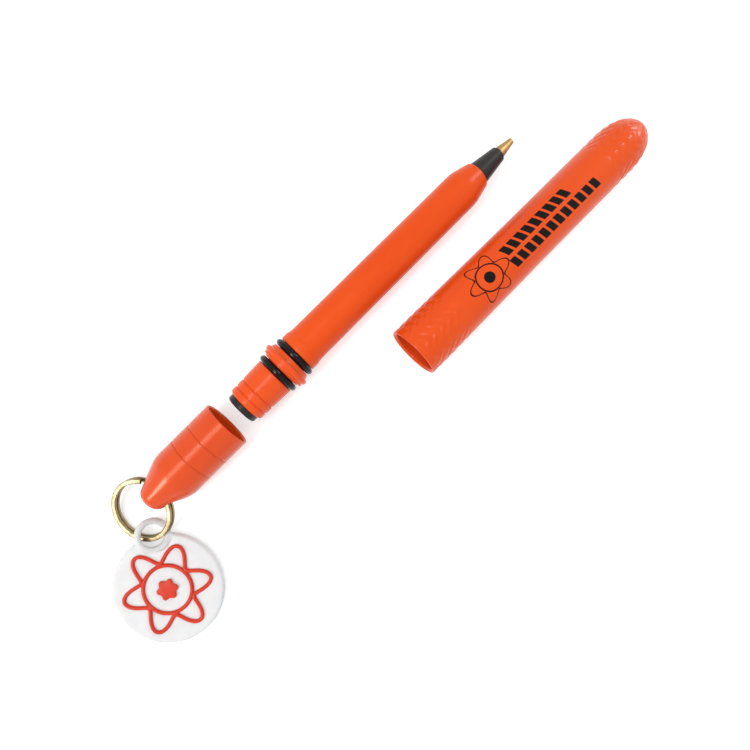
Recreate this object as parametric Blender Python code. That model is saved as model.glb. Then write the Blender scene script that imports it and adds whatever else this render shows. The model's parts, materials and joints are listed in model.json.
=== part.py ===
"""Pocket pen with a key-ring end, laid out taken apart.

The pen lies along X with its writing point towards +X, and the flat outer face of
its end plug is centred on the origin. The cap lies beside it at -Y, and the key-ring
end lies in line behind it with its split ring and soft tag. +Z is up.
Sizes are in millimetres and degrees, and every mesh is built in metres.
"""
from math import asin, atan2, cos, hypot, pi, radians, sin, sqrt

import bmesh
import bpy
from mathutils import Matrix, Vector

MM = 0.001

# Fits
SEAT_GAP = 0.05
FIT_CLEARANCE = 0.06
CAP_FIT_CLEARANCE = 0.1

# End plug
PLUG_HEAD_RADIUS = 3.5
PLUG_HEAD_LENGTH = 1.3
PLUG_SPIGOT_LENGTH = 4.5
PLUG_CHAMFER = 0.25

# Barrel, from its ribbed tail stub to its mouth
BORE_RADIUS = 2.5
STUB_LENGTH = 10.45
STUB_TAIL_RADIUS = 4.12
STUB_FRONT_RADIUS = 4.36
STUB_CHAMFER = 0.35
RIB_COUNT = 2
RIB_WIDTH = 1.5
RIB_GROOVE_WIDTH = 0.35
RIB_GROOVE_DEPTH = 0.22
FLANGE_RADIUS = 5.45
FLANGE_WIDTH = 1.8
FLANGE_ROUNDING = 0.4
FLANGE_SEAT_RADIUS = 5.05
FLANGE_SEAT_WIDTH = 0.7
NECK_LENGTH = 1.0
NECK_BACK_RADIUS = 4.9
NECK_FRONT_RADIUS = 4.5
COLLAR_RADIUS = 4.45
COLLAR_LENGTH = 1.75
COLLAR_FALL = 1.7
TUBE_BACK_RADIUS = 4.19
TUBE_FRONT_RADIUS = 4.0
TUBE_LENGTH = 43.5
SHOULDER_LENGTH = 5.0
SHOULDER_ROUNDING = 2.2
MOUTH_RADIUS = 3.0

# O-rings in their grooves either side of the flange
O_RING_SECTION = 1.45
O_RING_OUTER_RADIUS = 4.865
O_RING_SIDE_CLEARANCE = 0.08
REAR_O_RING_TO_FLANGE = 0.3

# Refill: nose cone, brass point, ball, tube, ink and follower
NOSE_BACK_RADIUS = 2.6
NOSE_FRONT_RADIUS = 1.66
NOSE_LENGTH = 6.5
NOSE_EDGE = 0.2
NOSE_SPIGOT_LENGTH = 9.0
NOSE_BORE_LENGTH = 5.0
POINT_RADIUS = 1.3
POINT_CONE_LENGTH = 3.75
POINT_SPIGOT_LENGTH = 4.0
INK_CHANNEL_RADIUS = 0.28
BALL_RADIUS = 0.5
BALL_CLEARANCE = 0.04
BALL_LIP_RADIUS = 0.64
BALL_HELD_PAST_CENTRE = 0.25
INK_TUBE_RADIUS = 1.65
INK_TUBE_BORE_RADIUS = 1.25
INK_TUBE_LENGTH = 52.0
INK_LENGTH = 38.0
FOLLOWER_LENGTH = 4.0

# Cap, lying beside the barrel
CAP_MOUTH_X = 33.0
CAP_SIDE_OFFSET = 16.6
CAP_MOUTH_RADIUS = 5.78
CAP_SKIRT_LENGTH = 5.0
CAP_CROWN_RADIUS = 5.25
CAP_DOME_LENGTH = 7.75
CAP_TAPER_POWER = 2.0
CAP_SEAL_LENGTH = 5.0
CAP_SEAL_FALL = 1.2
CAP_WALL = 0.8
CAP_DOME_WALL = 0.8
CAP_TIP_CLEARANCE = 0.3
CAP_LEAD_IN = 0.45
CAP_RIM_ROUNDING = 0.18

# Key-ring end, lying in line behind the barrel
TAIL_CAP_GAP = 3.9
TAIL_CAP_RADIUS = 5.45
TAIL_CAP_END_CLEARANCE = 0.6
TAIL_CAP_NOSE_LENGTH = 10.55
TAIL_CAP_CONE_LENGTH = 8.07
TAIL_CAP_CONE_SLOPE = 0.388
TAIL_CAP_CORNER_LENGTH = 1.0
TAIL_CAP_NOSE_ROUNDING = 2.0
TAIL_CAP_LEAD_IN = 0.3
TAIL_CAP_RIM_ROUNDING = 0.1
TRIM_GROOVE_FROM_MOUTH = 5.3
TRIM_GROOVE_SPACING = 4.5
TRIM_GROOVE_COUNT = 2
TRIM_GROOVE_WIDTH = 0.3
TRIM_GROOVE_DEPTH = 0.16
NOSE_HOLE_FROM_END = 3.3
NOSE_HOLE_CLEARANCE = 0.22
NOSE_HOLE_FLARE = 0.5

# Split key ring, wound twice from flattened wire
KEY_RING_OUTER_RADIUS = 7.0
KEY_RING_WIRE_WIDTH = 1.05
KEY_RING_WIRE_THICKNESS = 0.6
KEY_RING_COIL_GAP = 0.45
KEY_RING_WIRE_CHAMFER = 0.16
KEY_RING_CROSSOVER = 34.0
KEY_RING_SPLIT_ANGLE = 125.0

# Soft tag on the ring
TAG_RADIUS = 11.65
TAG_THICKNESS = 2.0
TAG_EDGE_ROUNDING = 0.65
TAG_ANGLE_ON_RING = -60.0
EAR_TO_TAG_CENTRE = 11.5
EAR_LOOP_RADIUS = 3.05
EAR_SECTION_RADIUS = 0.7
EAR_HOLE_MARGIN = 0.4
EAR_BACKSET = 0.5
EAR_TWIST = -27.0

# Raised rosette on the tag, and the lobed boss in its middle
RELIEF_HEIGHT = 0.5
RELIEF_LINE_WIDTH = 0.85
RELIEF_EDGE = 0.12
ROSETTE_PETALS = 6
ROSETTE_TIP_RADIUS = 9.3
ROSETTE_HEART_RADIUS = 5.6
ROSETTE_RING_RADIUS = 5.05
BOSS_RADIUS = 2.3
BOSS_LOBE_DEPTH = 0.5

# Facets
SIDES = 36
NOSE_SIDES = 32
POINT_SIDES = 24
INK_SIDES = 20
SECTION_SIDES = 12
EAR_SECTION_SIDES = 10
BALL_SIDES = 16
BALL_RINGS = 10
EDGE_STEPS = 3
ARC_STEPS = 4
CUP_STEPS = 8
TAPER_STEPS = 6
INNER_DOME_STEPS = 7
DOME_STEPS = 9
NOSE_STEPS = 7
CORNER_STEPS = 4
TURN_STEPS = 28
ROSETTE_STEPS = 84
BOSS_STEPS = 48
MERGE_DISTANCE = 0.00001 * MM
ON_AXIS = 0.00001

X_AXIS = Vector((1.0, 0.0, 0.0))
Y_AXIS = Vector((0.0, 1.0, 0.0))
Z_AXIS = Vector((0.0, 0.0, 1.0))

# Stations along the pen, in order from the end plug
BARREL_REAR = PLUG_HEAD_LENGTH + SEAT_GAP
FLANGE_REAR = BARREL_REAR + STUB_LENGTH
FLANGE_FRONT = FLANGE_REAR + FLANGE_WIDTH
O_RING_GROOVE_WIDTH = O_RING_SECTION + 2 * O_RING_SIDE_CLEARANCE
O_RING_GROOVE_RADIUS = O_RING_OUTER_RADIUS - O_RING_SECTION - SEAT_GAP
REAR_GROOVE_START = FLANGE_REAR - REAR_O_RING_TO_FLANGE - O_RING_GROOVE_WIDTH
FRONT_GROOVE_START = FLANGE_FRONT + NECK_LENGTH
COLLAR_START = FRONT_GROOVE_START + O_RING_GROOVE_WIDTH
TUBE_START = COLLAR_START + COLLAR_LENGTH + COLLAR_FALL
SHOULDER_START = TUBE_START + TUBE_LENGTH
BARREL_FRONT = SHOULDER_START + SHOULDER_LENGTH
NOSE_BACK = BARREL_FRONT + SEAT_GAP
NOSE_FRONT = NOSE_BACK + NOSE_LENGTH
NOSE_STEP = NOSE_FRONT - NOSE_BORE_LENGTH
POINT_CONE_START = NOSE_FRONT + SEAT_GAP
POINT_LIP = POINT_CONE_START + POINT_CONE_LENGTH
BALL_X = POINT_LIP - BALL_HELD_PAST_CENTRE
TIP_X = BALL_X + BALL_RADIUS
POINT_REAR = NOSE_STEP - SEAT_GAP - POINT_SPIGOT_LENGTH
INK_TUBE_FRONT = NOSE_STEP - SEAT_GAP
INK_FRONT = POINT_REAR - SEAT_GAP
INK_REAR = INK_FRONT - INK_LENGTH
FOLLOWER_FRONT = INK_REAR - SEAT_GAP

# Heights, with everything lying on one flat surface
FLOOR_Z = -FLANGE_RADIUS
CAP_Z = FLOOR_Z + CAP_MOUTH_RADIUS

# Cap and key-ring end, sized by what they close over
SEAL_BORE_RADIUS = O_RING_OUTER_RADIUS + CAP_FIT_CLEARANCE
CAP_DEPTH = TIP_X - FLANGE_FRONT + CAP_TIP_CLEARANCE
CAP_LENGTH = CAP_DEPTH + CAP_DOME_WALL
TAIL_CAP_DEPTH = FLANGE_REAR + TAIL_CAP_END_CLEARANCE
TAIL_CAP_LENGTH = TAIL_CAP_DEPTH + TAIL_CAP_NOSE_LENGTH
TAIL_CAP_MOUTH_X = -TAIL_CAP_GAP

# Key ring and the hole that it hangs in
KEY_RING_RADIUS = KEY_RING_OUTER_RADIUS - KEY_RING_WIRE_WIDTH / 2
KEY_RING_THICKNESS = 2 * KEY_RING_WIRE_THICKNESS + KEY_RING_COIL_GAP
NOSE_HOLE_X = TAIL_CAP_MOUTH_X - TAIL_CAP_LENGTH + NOSE_HOLE_FROM_END


def srgb(red, green, blue):
    """Linear colour of a screen colour given as 0 to 255."""
    shares = [value / 255 for value in (red, green, blue)]
    linear = [share / 12.92 if share < 0.04045 else ((share + 0.055) / 1.055) ** 2.4 for share in shares]
    return (*linear, 1.0)


def material(name, colour, roughness, metallic=0.0):
    """A plain finish."""
    finish = bpy.data.materials.new(name)
    finish.use_nodes = True
    shader = finish.node_tree.nodes["Principled BSDF"]
    shader.inputs["Base Color"].default_value = colour
    shader.inputs["Roughness"].default_value = roughness
    shader.inputs["Metallic"].default_value = metallic
    finish.diffuse_color = colour
    return finish


def add_object(name, shape, finish=None):
    """Turn a finished bmesh into a named object with smooth round faces."""
    bmesh.ops.recalc_face_normals(shape, faces=shape.faces)
    mesh = bpy.data.meshes.new(name)
    shape.to_mesh(mesh)
    shape.free()
    mesh.shade_smooth()
    mesh.set_sharp_from_angle(angle=radians(35))
    item = bpy.data.objects.new(name, mesh)
    bpy.context.collection.objects.link(item)
    if finish:
        mesh.materials.append(finish)
    return item


def turned(name, outline, finish=None, sides=SIDES, closed=False, axis=X_AXIS):
    """Revolve an outline of (place along the axis, radius) points, in millimetres."""
    side = X_AXIS if axis == Z_AXIS else Z_AXIS
    shape = bmesh.new()
    verts = [shape.verts.new((axis * place + side * radius) * MM) for place, radius in outline]
    corners = [(vert, radius) for vert, (_, radius) in zip(verts, outline)]
    following = corners[1:] + corners[:1] if closed else corners[1:]
    edges = [
        shape.edges.new((one, two))
        for (one, radius), (two, next_radius) in zip(corners, following)
        if max(radius, next_radius) > ON_AXIS
    ]
    bmesh.ops.spin(
        shape, geom=verts + edges, cent=(0, 0, 0), axis=axis, angle=2 * pi, steps=sides, use_merge=True)
    bmesh.ops.remove_doubles(shape, verts=shape.verts, dist=MERGE_DISTANCE)
    return add_object(name, shape, finish)


def arc(place, radius, reach_along, reach_out, start, end, steps=ARC_STEPS):
    """Points on an elliptical arc about (place, radius), with angles from the axis direction."""
    angles = [radians(start + (end - start) * step / steps) for step in range(steps + 1)]
    return [(place + reach_along * cos(angle), radius + reach_out * sin(angle)) for angle in angles]


def groove(start, width, depth, radius):
    """A square groove cut into a wall of the given radius."""
    floor = radius - depth
    return [(start, radius), (start, floor), (start + width, floor), (start + width, radius)]


def hold_as_tool(item):
    """Keep an object as a cutting form only."""
    item.hide_render = True
    item.display_type = "WIRE"


def combine(item, form, operation):
    """Cut a form away from an object, or join it on."""
    step = item.modifiers.new(form.name, "BOOLEAN")
    step.operation = operation
    step.solver = "EXACT"
    step.object = form
    hold_as_tool(form)


def attach(child, parent):
    """Parent an object where it stands."""
    bpy.context.view_layer.update()
    child.parent = parent
    child.matrix_parent_inverse = parent.matrix_world.inverted()


def slope_to_floor(length, half_thickness, height):
    """Tilt at which a plate of this length, held at this height, touches the floor."""
    return asin(height / hypot(length, half_thickness)) - atan2(half_thickness, length)


def stub_radius(place):
    """Radius of the gently tapered tail stub."""
    share = (place - BARREL_REAR) / STUB_LENGTH
    return STUB_TAIL_RADIUS + (STUB_FRONT_RADIUS - STUB_TAIL_RADIUS) * share


def make_barrel(finish):
    """Bored barrel with a ribbed tail stub, two O-ring grooves, a flange and a tapered front."""
    outline = [(BARREL_REAR, BORE_RADIUS)]
    outline.append((BARREL_REAR, STUB_TAIL_RADIUS - STUB_CHAMFER))
    outline.append((BARREL_REAR + STUB_CHAMFER, stub_radius(BARREL_REAR + STUB_CHAMFER)))
    place = BARREL_REAR
    for _ in range(RIB_COUNT):
        place += RIB_WIDTH
        outline += groove(place, RIB_GROOVE_WIDTH, RIB_GROOVE_DEPTH, stub_radius(place))
        place += RIB_GROOVE_WIDTH
    rear_depth = STUB_FRONT_RADIUS - O_RING_GROOVE_RADIUS
    outline += groove(REAR_GROOVE_START, O_RING_GROOVE_WIDTH, rear_depth, STUB_FRONT_RADIUS)
    outline.append((FLANGE_REAR, STUB_FRONT_RADIUS))
    crest = FLANGE_RADIUS - FLANGE_ROUNDING
    outline.append((FLANGE_REAR, FLANGE_SEAT_RADIUS))
    rim_rear = FLANGE_REAR + FLANGE_SEAT_WIDTH
    outline.append((rim_rear, FLANGE_SEAT_RADIUS))
    outline += arc(rim_rear + FLANGE_ROUNDING, crest, FLANGE_ROUNDING, FLANGE_ROUNDING, 180, 90)
    outline += arc(FLANGE_FRONT - FLANGE_ROUNDING, crest, FLANGE_ROUNDING, FLANGE_ROUNDING, 90, 0)
    outline.append((FLANGE_FRONT, NECK_BACK_RADIUS))
    outline.append((FRONT_GROOVE_START, NECK_FRONT_RADIUS))
    outline.append((FRONT_GROOVE_START, O_RING_GROOVE_RADIUS))
    outline.append((COLLAR_START, O_RING_GROOVE_RADIUS))
    outline.append((COLLAR_START, COLLAR_RADIUS))
    fall = COLLAR_RADIUS - TUBE_BACK_RADIUS
    outline += arc(TUBE_START, COLLAR_RADIUS, COLLAR_FALL, fall, 180, 270)
    outline.append((SHOULDER_START, TUBE_FRONT_RADIUS))
    drop = (TUBE_FRONT_RADIUS - MOUTH_RADIUS) * SHOULDER_ROUNDING / SHOULDER_LENGTH
    outline += arc(SHOULDER_START, TUBE_FRONT_RADIUS - drop, SHOULDER_ROUNDING, drop, 90, 30)[1:]
    outline.append((BARREL_FRONT, MOUTH_RADIUS))
    outline.append((BARREL_FRONT, BORE_RADIUS))
    return turned("barrel", outline, finish, closed=True)


def make_end_plug(finish):
    """Push-in plug with a flat round head."""
    spigot_radius = BORE_RADIUS - FIT_CLEARANCE
    spigot_end = PLUG_HEAD_LENGTH + PLUG_SPIGOT_LENGTH
    outline = [
        (0, 0),
        (0, PLUG_HEAD_RADIUS - PLUG_CHAMFER),
        (PLUG_CHAMFER, PLUG_HEAD_RADIUS),
        (PLUG_HEAD_LENGTH, PLUG_HEAD_RADIUS),
        (PLUG_HEAD_LENGTH, spigot_radius),
        (spigot_end - PLUG_CHAMFER, spigot_radius),
        (spigot_end, spigot_radius - PLUG_CHAMFER),
        (spigot_end, 0),
    ]
    return turned("end_plug", outline, finish)


def make_o_ring(name, groove_start, finish):
    """Rubber ring sitting in its groove."""
    centre = groove_start + O_RING_GROOVE_WIDTH / 2
    reach = O_RING_SECTION / 2
    section = arc(centre, O_RING_OUTER_RADIUS - reach, reach, reach, 90, 450, SECTION_SIDES)[:-1]
    return turned(name, section, finish, closed=True)


def make_nose_cone(finish):
    """Front cone of the refill, with a spigot that pushes into the barrel."""
    spigot_radius = BORE_RADIUS - FIT_CLEARANCE
    spigot_back = NOSE_BACK - NOSE_SPIGOT_LENGTH
    point_bore = POINT_RADIUS + FIT_CLEARANCE
    tube_bore = INK_TUBE_RADIUS + FIT_CLEARANCE
    outline = [
        (spigot_back, tube_bore),
        (spigot_back, spigot_radius - NOSE_EDGE),
        (spigot_back + NOSE_EDGE, spigot_radius),
        (NOSE_BACK, spigot_radius),
        (NOSE_BACK, NOSE_BACK_RADIUS),
        (NOSE_FRONT - NOSE_EDGE, NOSE_FRONT_RADIUS),
        (NOSE_FRONT, NOSE_FRONT_RADIUS - NOSE_EDGE),
        (NOSE_FRONT, point_bore),
        (NOSE_STEP, point_bore),
        (NOSE_STEP, tube_bore),
    ]
    return turned("nose_cone", outline, finish, NOSE_SIDES, closed=True)


def make_point(finish):
    """Brass writing point, bored for ink and closed over the ball at its lip."""
    cup_radius = BALL_RADIUS + BALL_CLEARANCE
    lip_angle = atan2(sqrt(cup_radius ** 2 - BALL_HELD_PAST_CENTRE ** 2), BALL_HELD_PAST_CENTRE)
    channel_angle = pi - asin(INK_CHANNEL_RADIUS / cup_radius)
    spigot_radius = INK_TUBE_BORE_RADIUS - FIT_CLEARANCE
    outline = [
        (POINT_REAR, INK_CHANNEL_RADIUS),
        (POINT_REAR, spigot_radius),
        (NOSE_STEP, spigot_radius),
        (NOSE_STEP, POINT_RADIUS),
        (POINT_CONE_START, POINT_RADIUS),
        (POINT_LIP, BALL_LIP_RADIUS),
    ]
    cup_start = lip_angle * 180 / pi
    cup_end = channel_angle * 180 / pi
    outline += arc(BALL_X, 0, cup_radius, cup_radius, cup_start, cup_end, CUP_STEPS)
    return turned("point", outline, finish, POINT_SIDES, closed=True)


def make_writing_ball(finish):
    """Ball that rolls in the point."""
    shape = bmesh.new()
    bmesh.ops.create_uvsphere(shape, u_segments=BALL_SIDES, v_segments=BALL_RINGS, radius=BALL_RADIUS * MM)
    ball = add_object("writing_ball", shape, finish)
    ball.location = X_AXIS * BALL_X * MM
    return ball


def make_ink_tube(finish):
    """Reservoir tube pushed over the point's spigot."""
    rear = INK_TUBE_FRONT - INK_TUBE_LENGTH
    outline = [
        (rear, INK_TUBE_BORE_RADIUS),
        (rear, INK_TUBE_RADIUS),
        (INK_TUBE_FRONT, INK_TUBE_RADIUS),
        (INK_TUBE_FRONT, INK_TUBE_BORE_RADIUS),
    ]
    return turned("ink_tube", outline, finish, POINT_SIDES, closed=True)


def make_fill(name, front, length, finish):
    """A plug of ink or grease that fills the reservoir tube."""
    radius = INK_TUBE_BORE_RADIUS - FIT_CLEARANCE
    rear = front - length
    outline = [(rear, 0), (rear, radius), (front, radius), (front, 0)]
    return turned(name, outline, finish, INK_SIDES)


def cap_radius(share):
    """Outside radius of the cap, from the end of its skirt (0) to its dome (1)."""
    return CAP_CROWN_RADIUS + (CAP_MOUTH_RADIUS - CAP_CROWN_RADIUS) * (1 - share) ** CAP_TAPER_POWER


def make_cap(finish):
    """Domed cap with a sealing bore at its mouth."""
    dome_start = CAP_LENGTH - CAP_DOME_LENGTH
    taper = dome_start - CAP_SKIRT_LENGTH
    edge = CAP_RIM_ROUNDING
    outline = arc(edge, CAP_MOUTH_RADIUS - edge, edge, edge, 180, 90, EDGE_STEPS)
    for step in range(TAPER_STEPS):
        share = step / TAPER_STEPS
        outline.append((CAP_SKIRT_LENGTH + taper * share, cap_radius(share)))
    outline += arc(dome_start, 0, CAP_DOME_LENGTH, CAP_CROWN_RADIUS, 90, 0, DOME_STEPS)
    inner_radius = CAP_CROWN_RADIUS - CAP_WALL
    inner_dome = CAP_DEPTH - dome_start
    outline += arc(dome_start, 0, inner_dome, inner_radius, 0, 90, INNER_DOME_STEPS)
    outline.append((CAP_SEAL_LENGTH + CAP_SEAL_FALL, inner_radius))
    outline.append((CAP_SEAL_LENGTH, SEAL_BORE_RADIUS))
    outline.append((CAP_LEAD_IN, SEAL_BORE_RADIUS))
    outline.append((0, SEAL_BORE_RADIUS + CAP_LEAD_IN))
    cap = turned("cap", outline, finish, closed=True)
    cap.location = Vector((CAP_MOUTH_X, -CAP_SIDE_OFFSET, CAP_Z)) * MM
    return cap


def tail_cap_nose():
    """Blunt end of the nose, an ellipse meeting the cone smoothly: its half height and where they meet."""
    cone_at_tip = TAIL_CAP_RADIUS - TAIL_CAP_CONE_SLOPE * TAIL_CAP_CONE_LENGTH
    rise = TAIL_CAP_CONE_SLOPE * TAIL_CAP_NOSE_ROUNDING
    half_height = sqrt(cone_at_tip ** 2 + 2 * cone_at_tip * rise)
    return half_height, TAIL_CAP_NOSE_ROUNDING * cone_at_tip / (cone_at_tip + rise)


def tail_cap_radius(from_end):
    """Outside radius of the key-ring end from its closed end: blunt nose, cone, softened corner, wall."""
    half_height, meet = tail_cap_nose()
    if from_end < meet:
        return half_height * sqrt(1 - (1 - from_end / TAIL_CAP_NOSE_ROUNDING) ** 2)
    to_corner = TAIL_CAP_CONE_LENGTH - from_end
    half = TAIL_CAP_CORNER_LENGTH
    if abs(to_corner) < half:
        return TAIL_CAP_RADIUS - TAIL_CAP_CONE_SLOPE * (to_corner + half) ** 2 / (4 * half)
    return TAIL_CAP_RADIUS - TAIL_CAP_CONE_SLOPE * max(to_corner, 0)


def key_ring_sag():
    """How far the ring's wire bows across the width of the nose."""
    half_width = tail_cap_radius(NOSE_HOLE_FROM_END)
    return KEY_RING_RADIUS - sqrt(KEY_RING_RADIUS ** 2 - half_width ** 2)


def nose_hole_radius():
    """Hole that the doubled, curved wire passes through and turns in."""
    reach = (key_ring_sag() + KEY_RING_WIRE_WIDTH) / 2
    return hypot(reach, KEY_RING_THICKNESS / 2) + NOSE_HOLE_CLEARANCE


def make_tail_cap(finish):
    """Bullet-shaped key-ring end with a cross hole in its nose."""
    edge = TAIL_CAP_RIM_ROUNDING
    outline = arc(-edge, TAIL_CAP_RADIUS - edge, edge, edge, 0, 90, EDGE_STEPS)
    for index in range(TRIM_GROOVE_COUNT):
        front = -TRIM_GROOVE_FROM_MOUTH - index * TRIM_GROOVE_SPACING
        cut = groove(front - TRIM_GROOVE_WIDTH, TRIM_GROOVE_WIDTH, TRIM_GROOVE_DEPTH, TAIL_CAP_RADIUS)
        outline += reversed(cut)
    _, meet = tail_cap_nose()
    half = TAIL_CAP_CORNER_LENGTH
    start = TAIL_CAP_CONE_LENGTH - half
    corner = [start + 2 * half * step / CORNER_STEPS for step in range(CORNER_STEPS + 1)]
    nose = [meet * (step / NOSE_STEPS) ** 2 for step in range(NOSE_STEPS + 1)]
    for from_end in reversed(nose + corner):
        outline.append((from_end - TAIL_CAP_LENGTH, tail_cap_radius(from_end)))
    outline.append((-TAIL_CAP_DEPTH, 0))
    outline.append((-TAIL_CAP_DEPTH, SEAL_BORE_RADIUS))
    outline.append((-TAIL_CAP_LEAD_IN, SEAL_BORE_RADIUS))
    outline.append((0, SEAL_BORE_RADIUS + TAIL_CAP_LEAD_IN))
    tail_cap = turned("tail_cap", outline, finish, closed=True)

    hole = nose_hole_radius()
    mouth = tail_cap_radius(NOSE_HOLE_FROM_END) - NOSE_HOLE_FLARE
    outside = TAIL_CAP_RADIUS
    flare = hole + outside - mouth
    cut = [(-outside, 0), (-outside, flare), (-mouth, hole), (mouth, hole), (outside, flare), (outside, 0)]
    drill = turned("nose_hole_drill", cut, sides=POINT_SIDES, axis=Y_AXIS)
    drill.location = X_AXIS * (NOSE_HOLE_FROM_END - TAIL_CAP_LENGTH) * MM
    combine(tail_cap, drill, "DIFFERENCE")
    attach(drill, tail_cap)
    tail_cap.location = X_AXIS * TAIL_CAP_MOUTH_X * MM
    return tail_cap


def key_ring_frame():
    """Where the ring hangs: its hinge in the nose hole, tilted until it lies on the floor."""
    centre_reach = KEY_RING_RADIUS - key_ring_sag() / 2
    tilt = slope_to_floor(centre_reach + KEY_RING_OUTER_RADIUS, KEY_RING_THICKNESS / 2, -FLOOR_Z)
    frame = Matrix.Translation(X_AXIS * NOSE_HOLE_X) @ Matrix.Rotation(pi - tilt, 4, Y_AXIS)
    return frame, centre_reach


def key_ring_path():
    """Angle and height of the wire along its two turns, with one crossover between the layers."""
    half = KEY_RING_CROSSOVER / 2
    length = 720.0 - KEY_RING_CROSSOVER
    steps = 2 * TURN_STEPS
    layer = (KEY_RING_WIRE_THICKNESS + KEY_RING_COIL_GAP) / 2
    path = []
    for step in range(steps + 1):
        turned_by = half + length * step / steps
        share = min(max((turned_by - 360.0 + half) / KEY_RING_CROSSOVER, 0), 1)
        climb = share * share * (3 - 2 * share)
        path.append((radians(KEY_RING_SPLIT_ANGLE + turned_by), layer * (2 * climb - 1)))
    return path


def wire_section():
    """Flattened wire with broken corners, as (outwards, upwards) points."""
    half_width = KEY_RING_WIRE_WIDTH / 2
    half_thickness = KEY_RING_WIRE_THICKNESS / 2
    inner_width = half_width - KEY_RING_WIRE_CHAMFER
    inner_thickness = half_thickness - KEY_RING_WIRE_CHAMFER
    quarter = [(half_width, inner_thickness), (inner_width, half_thickness)]
    top = quarter + [(-out, up) for out, up in reversed(quarter)]
    return top + [(-out, -up) for out, up in top]


def least_gap(rings):
    """Least distance in millimetres between points of the wire on different turns."""
    apart = TURN_STEPS // 2
    pairs = [(one, two) for index, one in enumerate(rings) for two in rings[index + apart:]]
    return min((a.co - b.co).length for one, two in pairs for a in one for b in two) / MM


def make_key_ring(finish):
    """Two-turn split ring as one unbroken length of wire."""
    frame, centre_reach = key_ring_frame()
    section = wire_section()
    shape = bmesh.new()
    rings = []
    for angle, height in key_ring_path():
        outwards = Vector((cos(angle), sin(angle), 0))
        centre = X_AXIS * centre_reach + outwards * KEY_RING_RADIUS + Z_AXIS * height
        rings.append([shape.verts.new((centre + outwards * out + Z_AXIS * up) * MM) for out, up in section])
    for one, two in zip(rings, rings[1:]):
        for index in range(len(section)):
            following = (index + 1) % len(section)
            shape.faces.new((one[index], one[following], two[following], two[index]))
    shape.faces.new(rings[0])
    shape.faces.new(rings[-1])
    print(f"key ring: least gap between its turns {least_gap(rings):.2f} mm")
    key_ring = add_object("key_ring", shape, finish)
    key_ring.matrix_world = Matrix.Scale(MM, 4) @ frame @ Matrix.Scale(1 / MM, 4)
    return key_ring


def tag_frame():
    """Where the tag lies: hung by its ear on the ring and sloping down to the floor."""
    ring, centre_reach = key_ring_frame()
    angle = radians(TAG_ANGLE_ON_RING)
    outwards = Vector((cos(angle), sin(angle), 0))
    ear = ring @ (X_AXIS * centre_reach + outwards * (KEY_RING_RADIUS - EAR_BACKSET))
    tangent = ring.to_3x3() @ Vector((-sin(angle), cos(angle), 0))
    level = ring.to_3x3() @ outwards
    level.z = 0
    level.normalize()
    across = Z_AXIS.cross(level)
    slope = slope_to_floor(EAR_TO_TAG_CENTRE + TAG_RADIUS, TAG_THICKNESS / 2, ear.z - FLOOR_Z)
    along = level * cos(slope) - Z_AXIS * sin(slope)
    turn = Matrix((along, across, along.cross(across))).transposed()
    return Matrix.LocRotScale(ear, turn, None), tangent


def make_tag(finish):
    """Soft round tag with a thick-rimmed ear, twisted a little where the ring pulls it."""
    edge = TAG_EDGE_ROUNDING
    half = TAG_THICKNESS / 2
    outline = [(-half, 0)]
    outline += arc(edge - half, TAG_RADIUS - edge, -edge, edge, 0, 90, EDGE_STEPS)
    outline += arc(half - edge, TAG_RADIUS - edge, edge, edge, 90, 0, EDGE_STEPS)
    outline.append((half, 0))
    tag = turned("tag", outline, finish, axis=Z_AXIS)
    tag.data.transform(Matrix.Translation(X_AXIS * EAR_TO_TAG_CENTRE * MM))

    twist = Matrix.Rotation(radians(EAR_TWIST), 4, X_AXIS)
    hole_radius = EAR_LOOP_RADIUS + EAR_HOLE_MARGIN
    hole_form = turned(
        "ear_hole_form",
        [(-TAG_RADIUS, 0), (-TAG_RADIUS, hole_radius), (TAG_RADIUS, hole_radius), (TAG_RADIUS, 0)],
        sides=POINT_SIDES, axis=Z_AXIS)
    section = arc(0, EAR_LOOP_RADIUS, EAR_SECTION_RADIUS, EAR_SECTION_RADIUS, 0, 360, EAR_SECTION_SIDES)[:-1]
    loop_form = turned("ear_loop_form", section, sides=POINT_SIDES, closed=True, axis=Z_AXIS)
    for form, operation in ((hole_form, "DIFFERENCE"), (loop_form, "UNION")):
        form.matrix_world = twist
        combine(tag, form, operation)
        attach(form, tag)
    frame, _ = tag_frame()
    tag.matrix_world = Matrix.Scale(MM, 4) @ frame @ Matrix.Scale(1 / MM, 4)
    return tag


def raised_band(shape, centre_line):
    """Raise a line of even width, with softened top edges, along a closed flat path."""
    half = RELIEF_LINE_WIDTH / 2
    base = TAG_THICKNESS / 2 + SEAT_GAP
    top = base + RELIEF_HEIGHT
    profile = [
        (-half, base), (half, base), (half, top - RELIEF_EDGE),
        (half - RELIEF_EDGE, top), (RELIEF_EDGE - half, top), (-half, top - RELIEF_EDGE),
    ]
    count = len(centre_line)
    rings = []
    for index, point in enumerate(centre_line):
        along = centre_line[(index + 1) % count] - centre_line[index - 1]
        across = along.cross(Z_AXIS).normalized()
        rings.append([shape.verts.new((point + across * out + Z_AXIS * up) * MM) for out, up in profile])
    for one, two in zip(rings, rings[1:] + rings[:1]):
        for index in range(len(profile)):
            following = (index + 1) % len(profile)
            shape.faces.new((one[index], one[following], two[following], two[index]))


def polar_path(radius_at, steps):
    """A closed flat path about the tag's centre."""
    angles = [2 * pi * step / steps for step in range(steps)]
    centre = X_AXIS * EAR_TO_TAG_CENTRE
    return [centre + Vector((cos(angle), sin(angle), 0)) * radius_at(angle) for angle in angles]


def petal_radius(angle):
    """Radius of the petalled line at an angle round the tag, with a hollow towards the ear."""
    middle = (ROSETTE_TIP_RADIUS + ROSETTE_HEART_RADIUS) / 2
    return middle - (ROSETTE_TIP_RADIUS - ROSETTE_HEART_RADIUS) / 2 * cos(ROSETTE_PETALS * angle)


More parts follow.
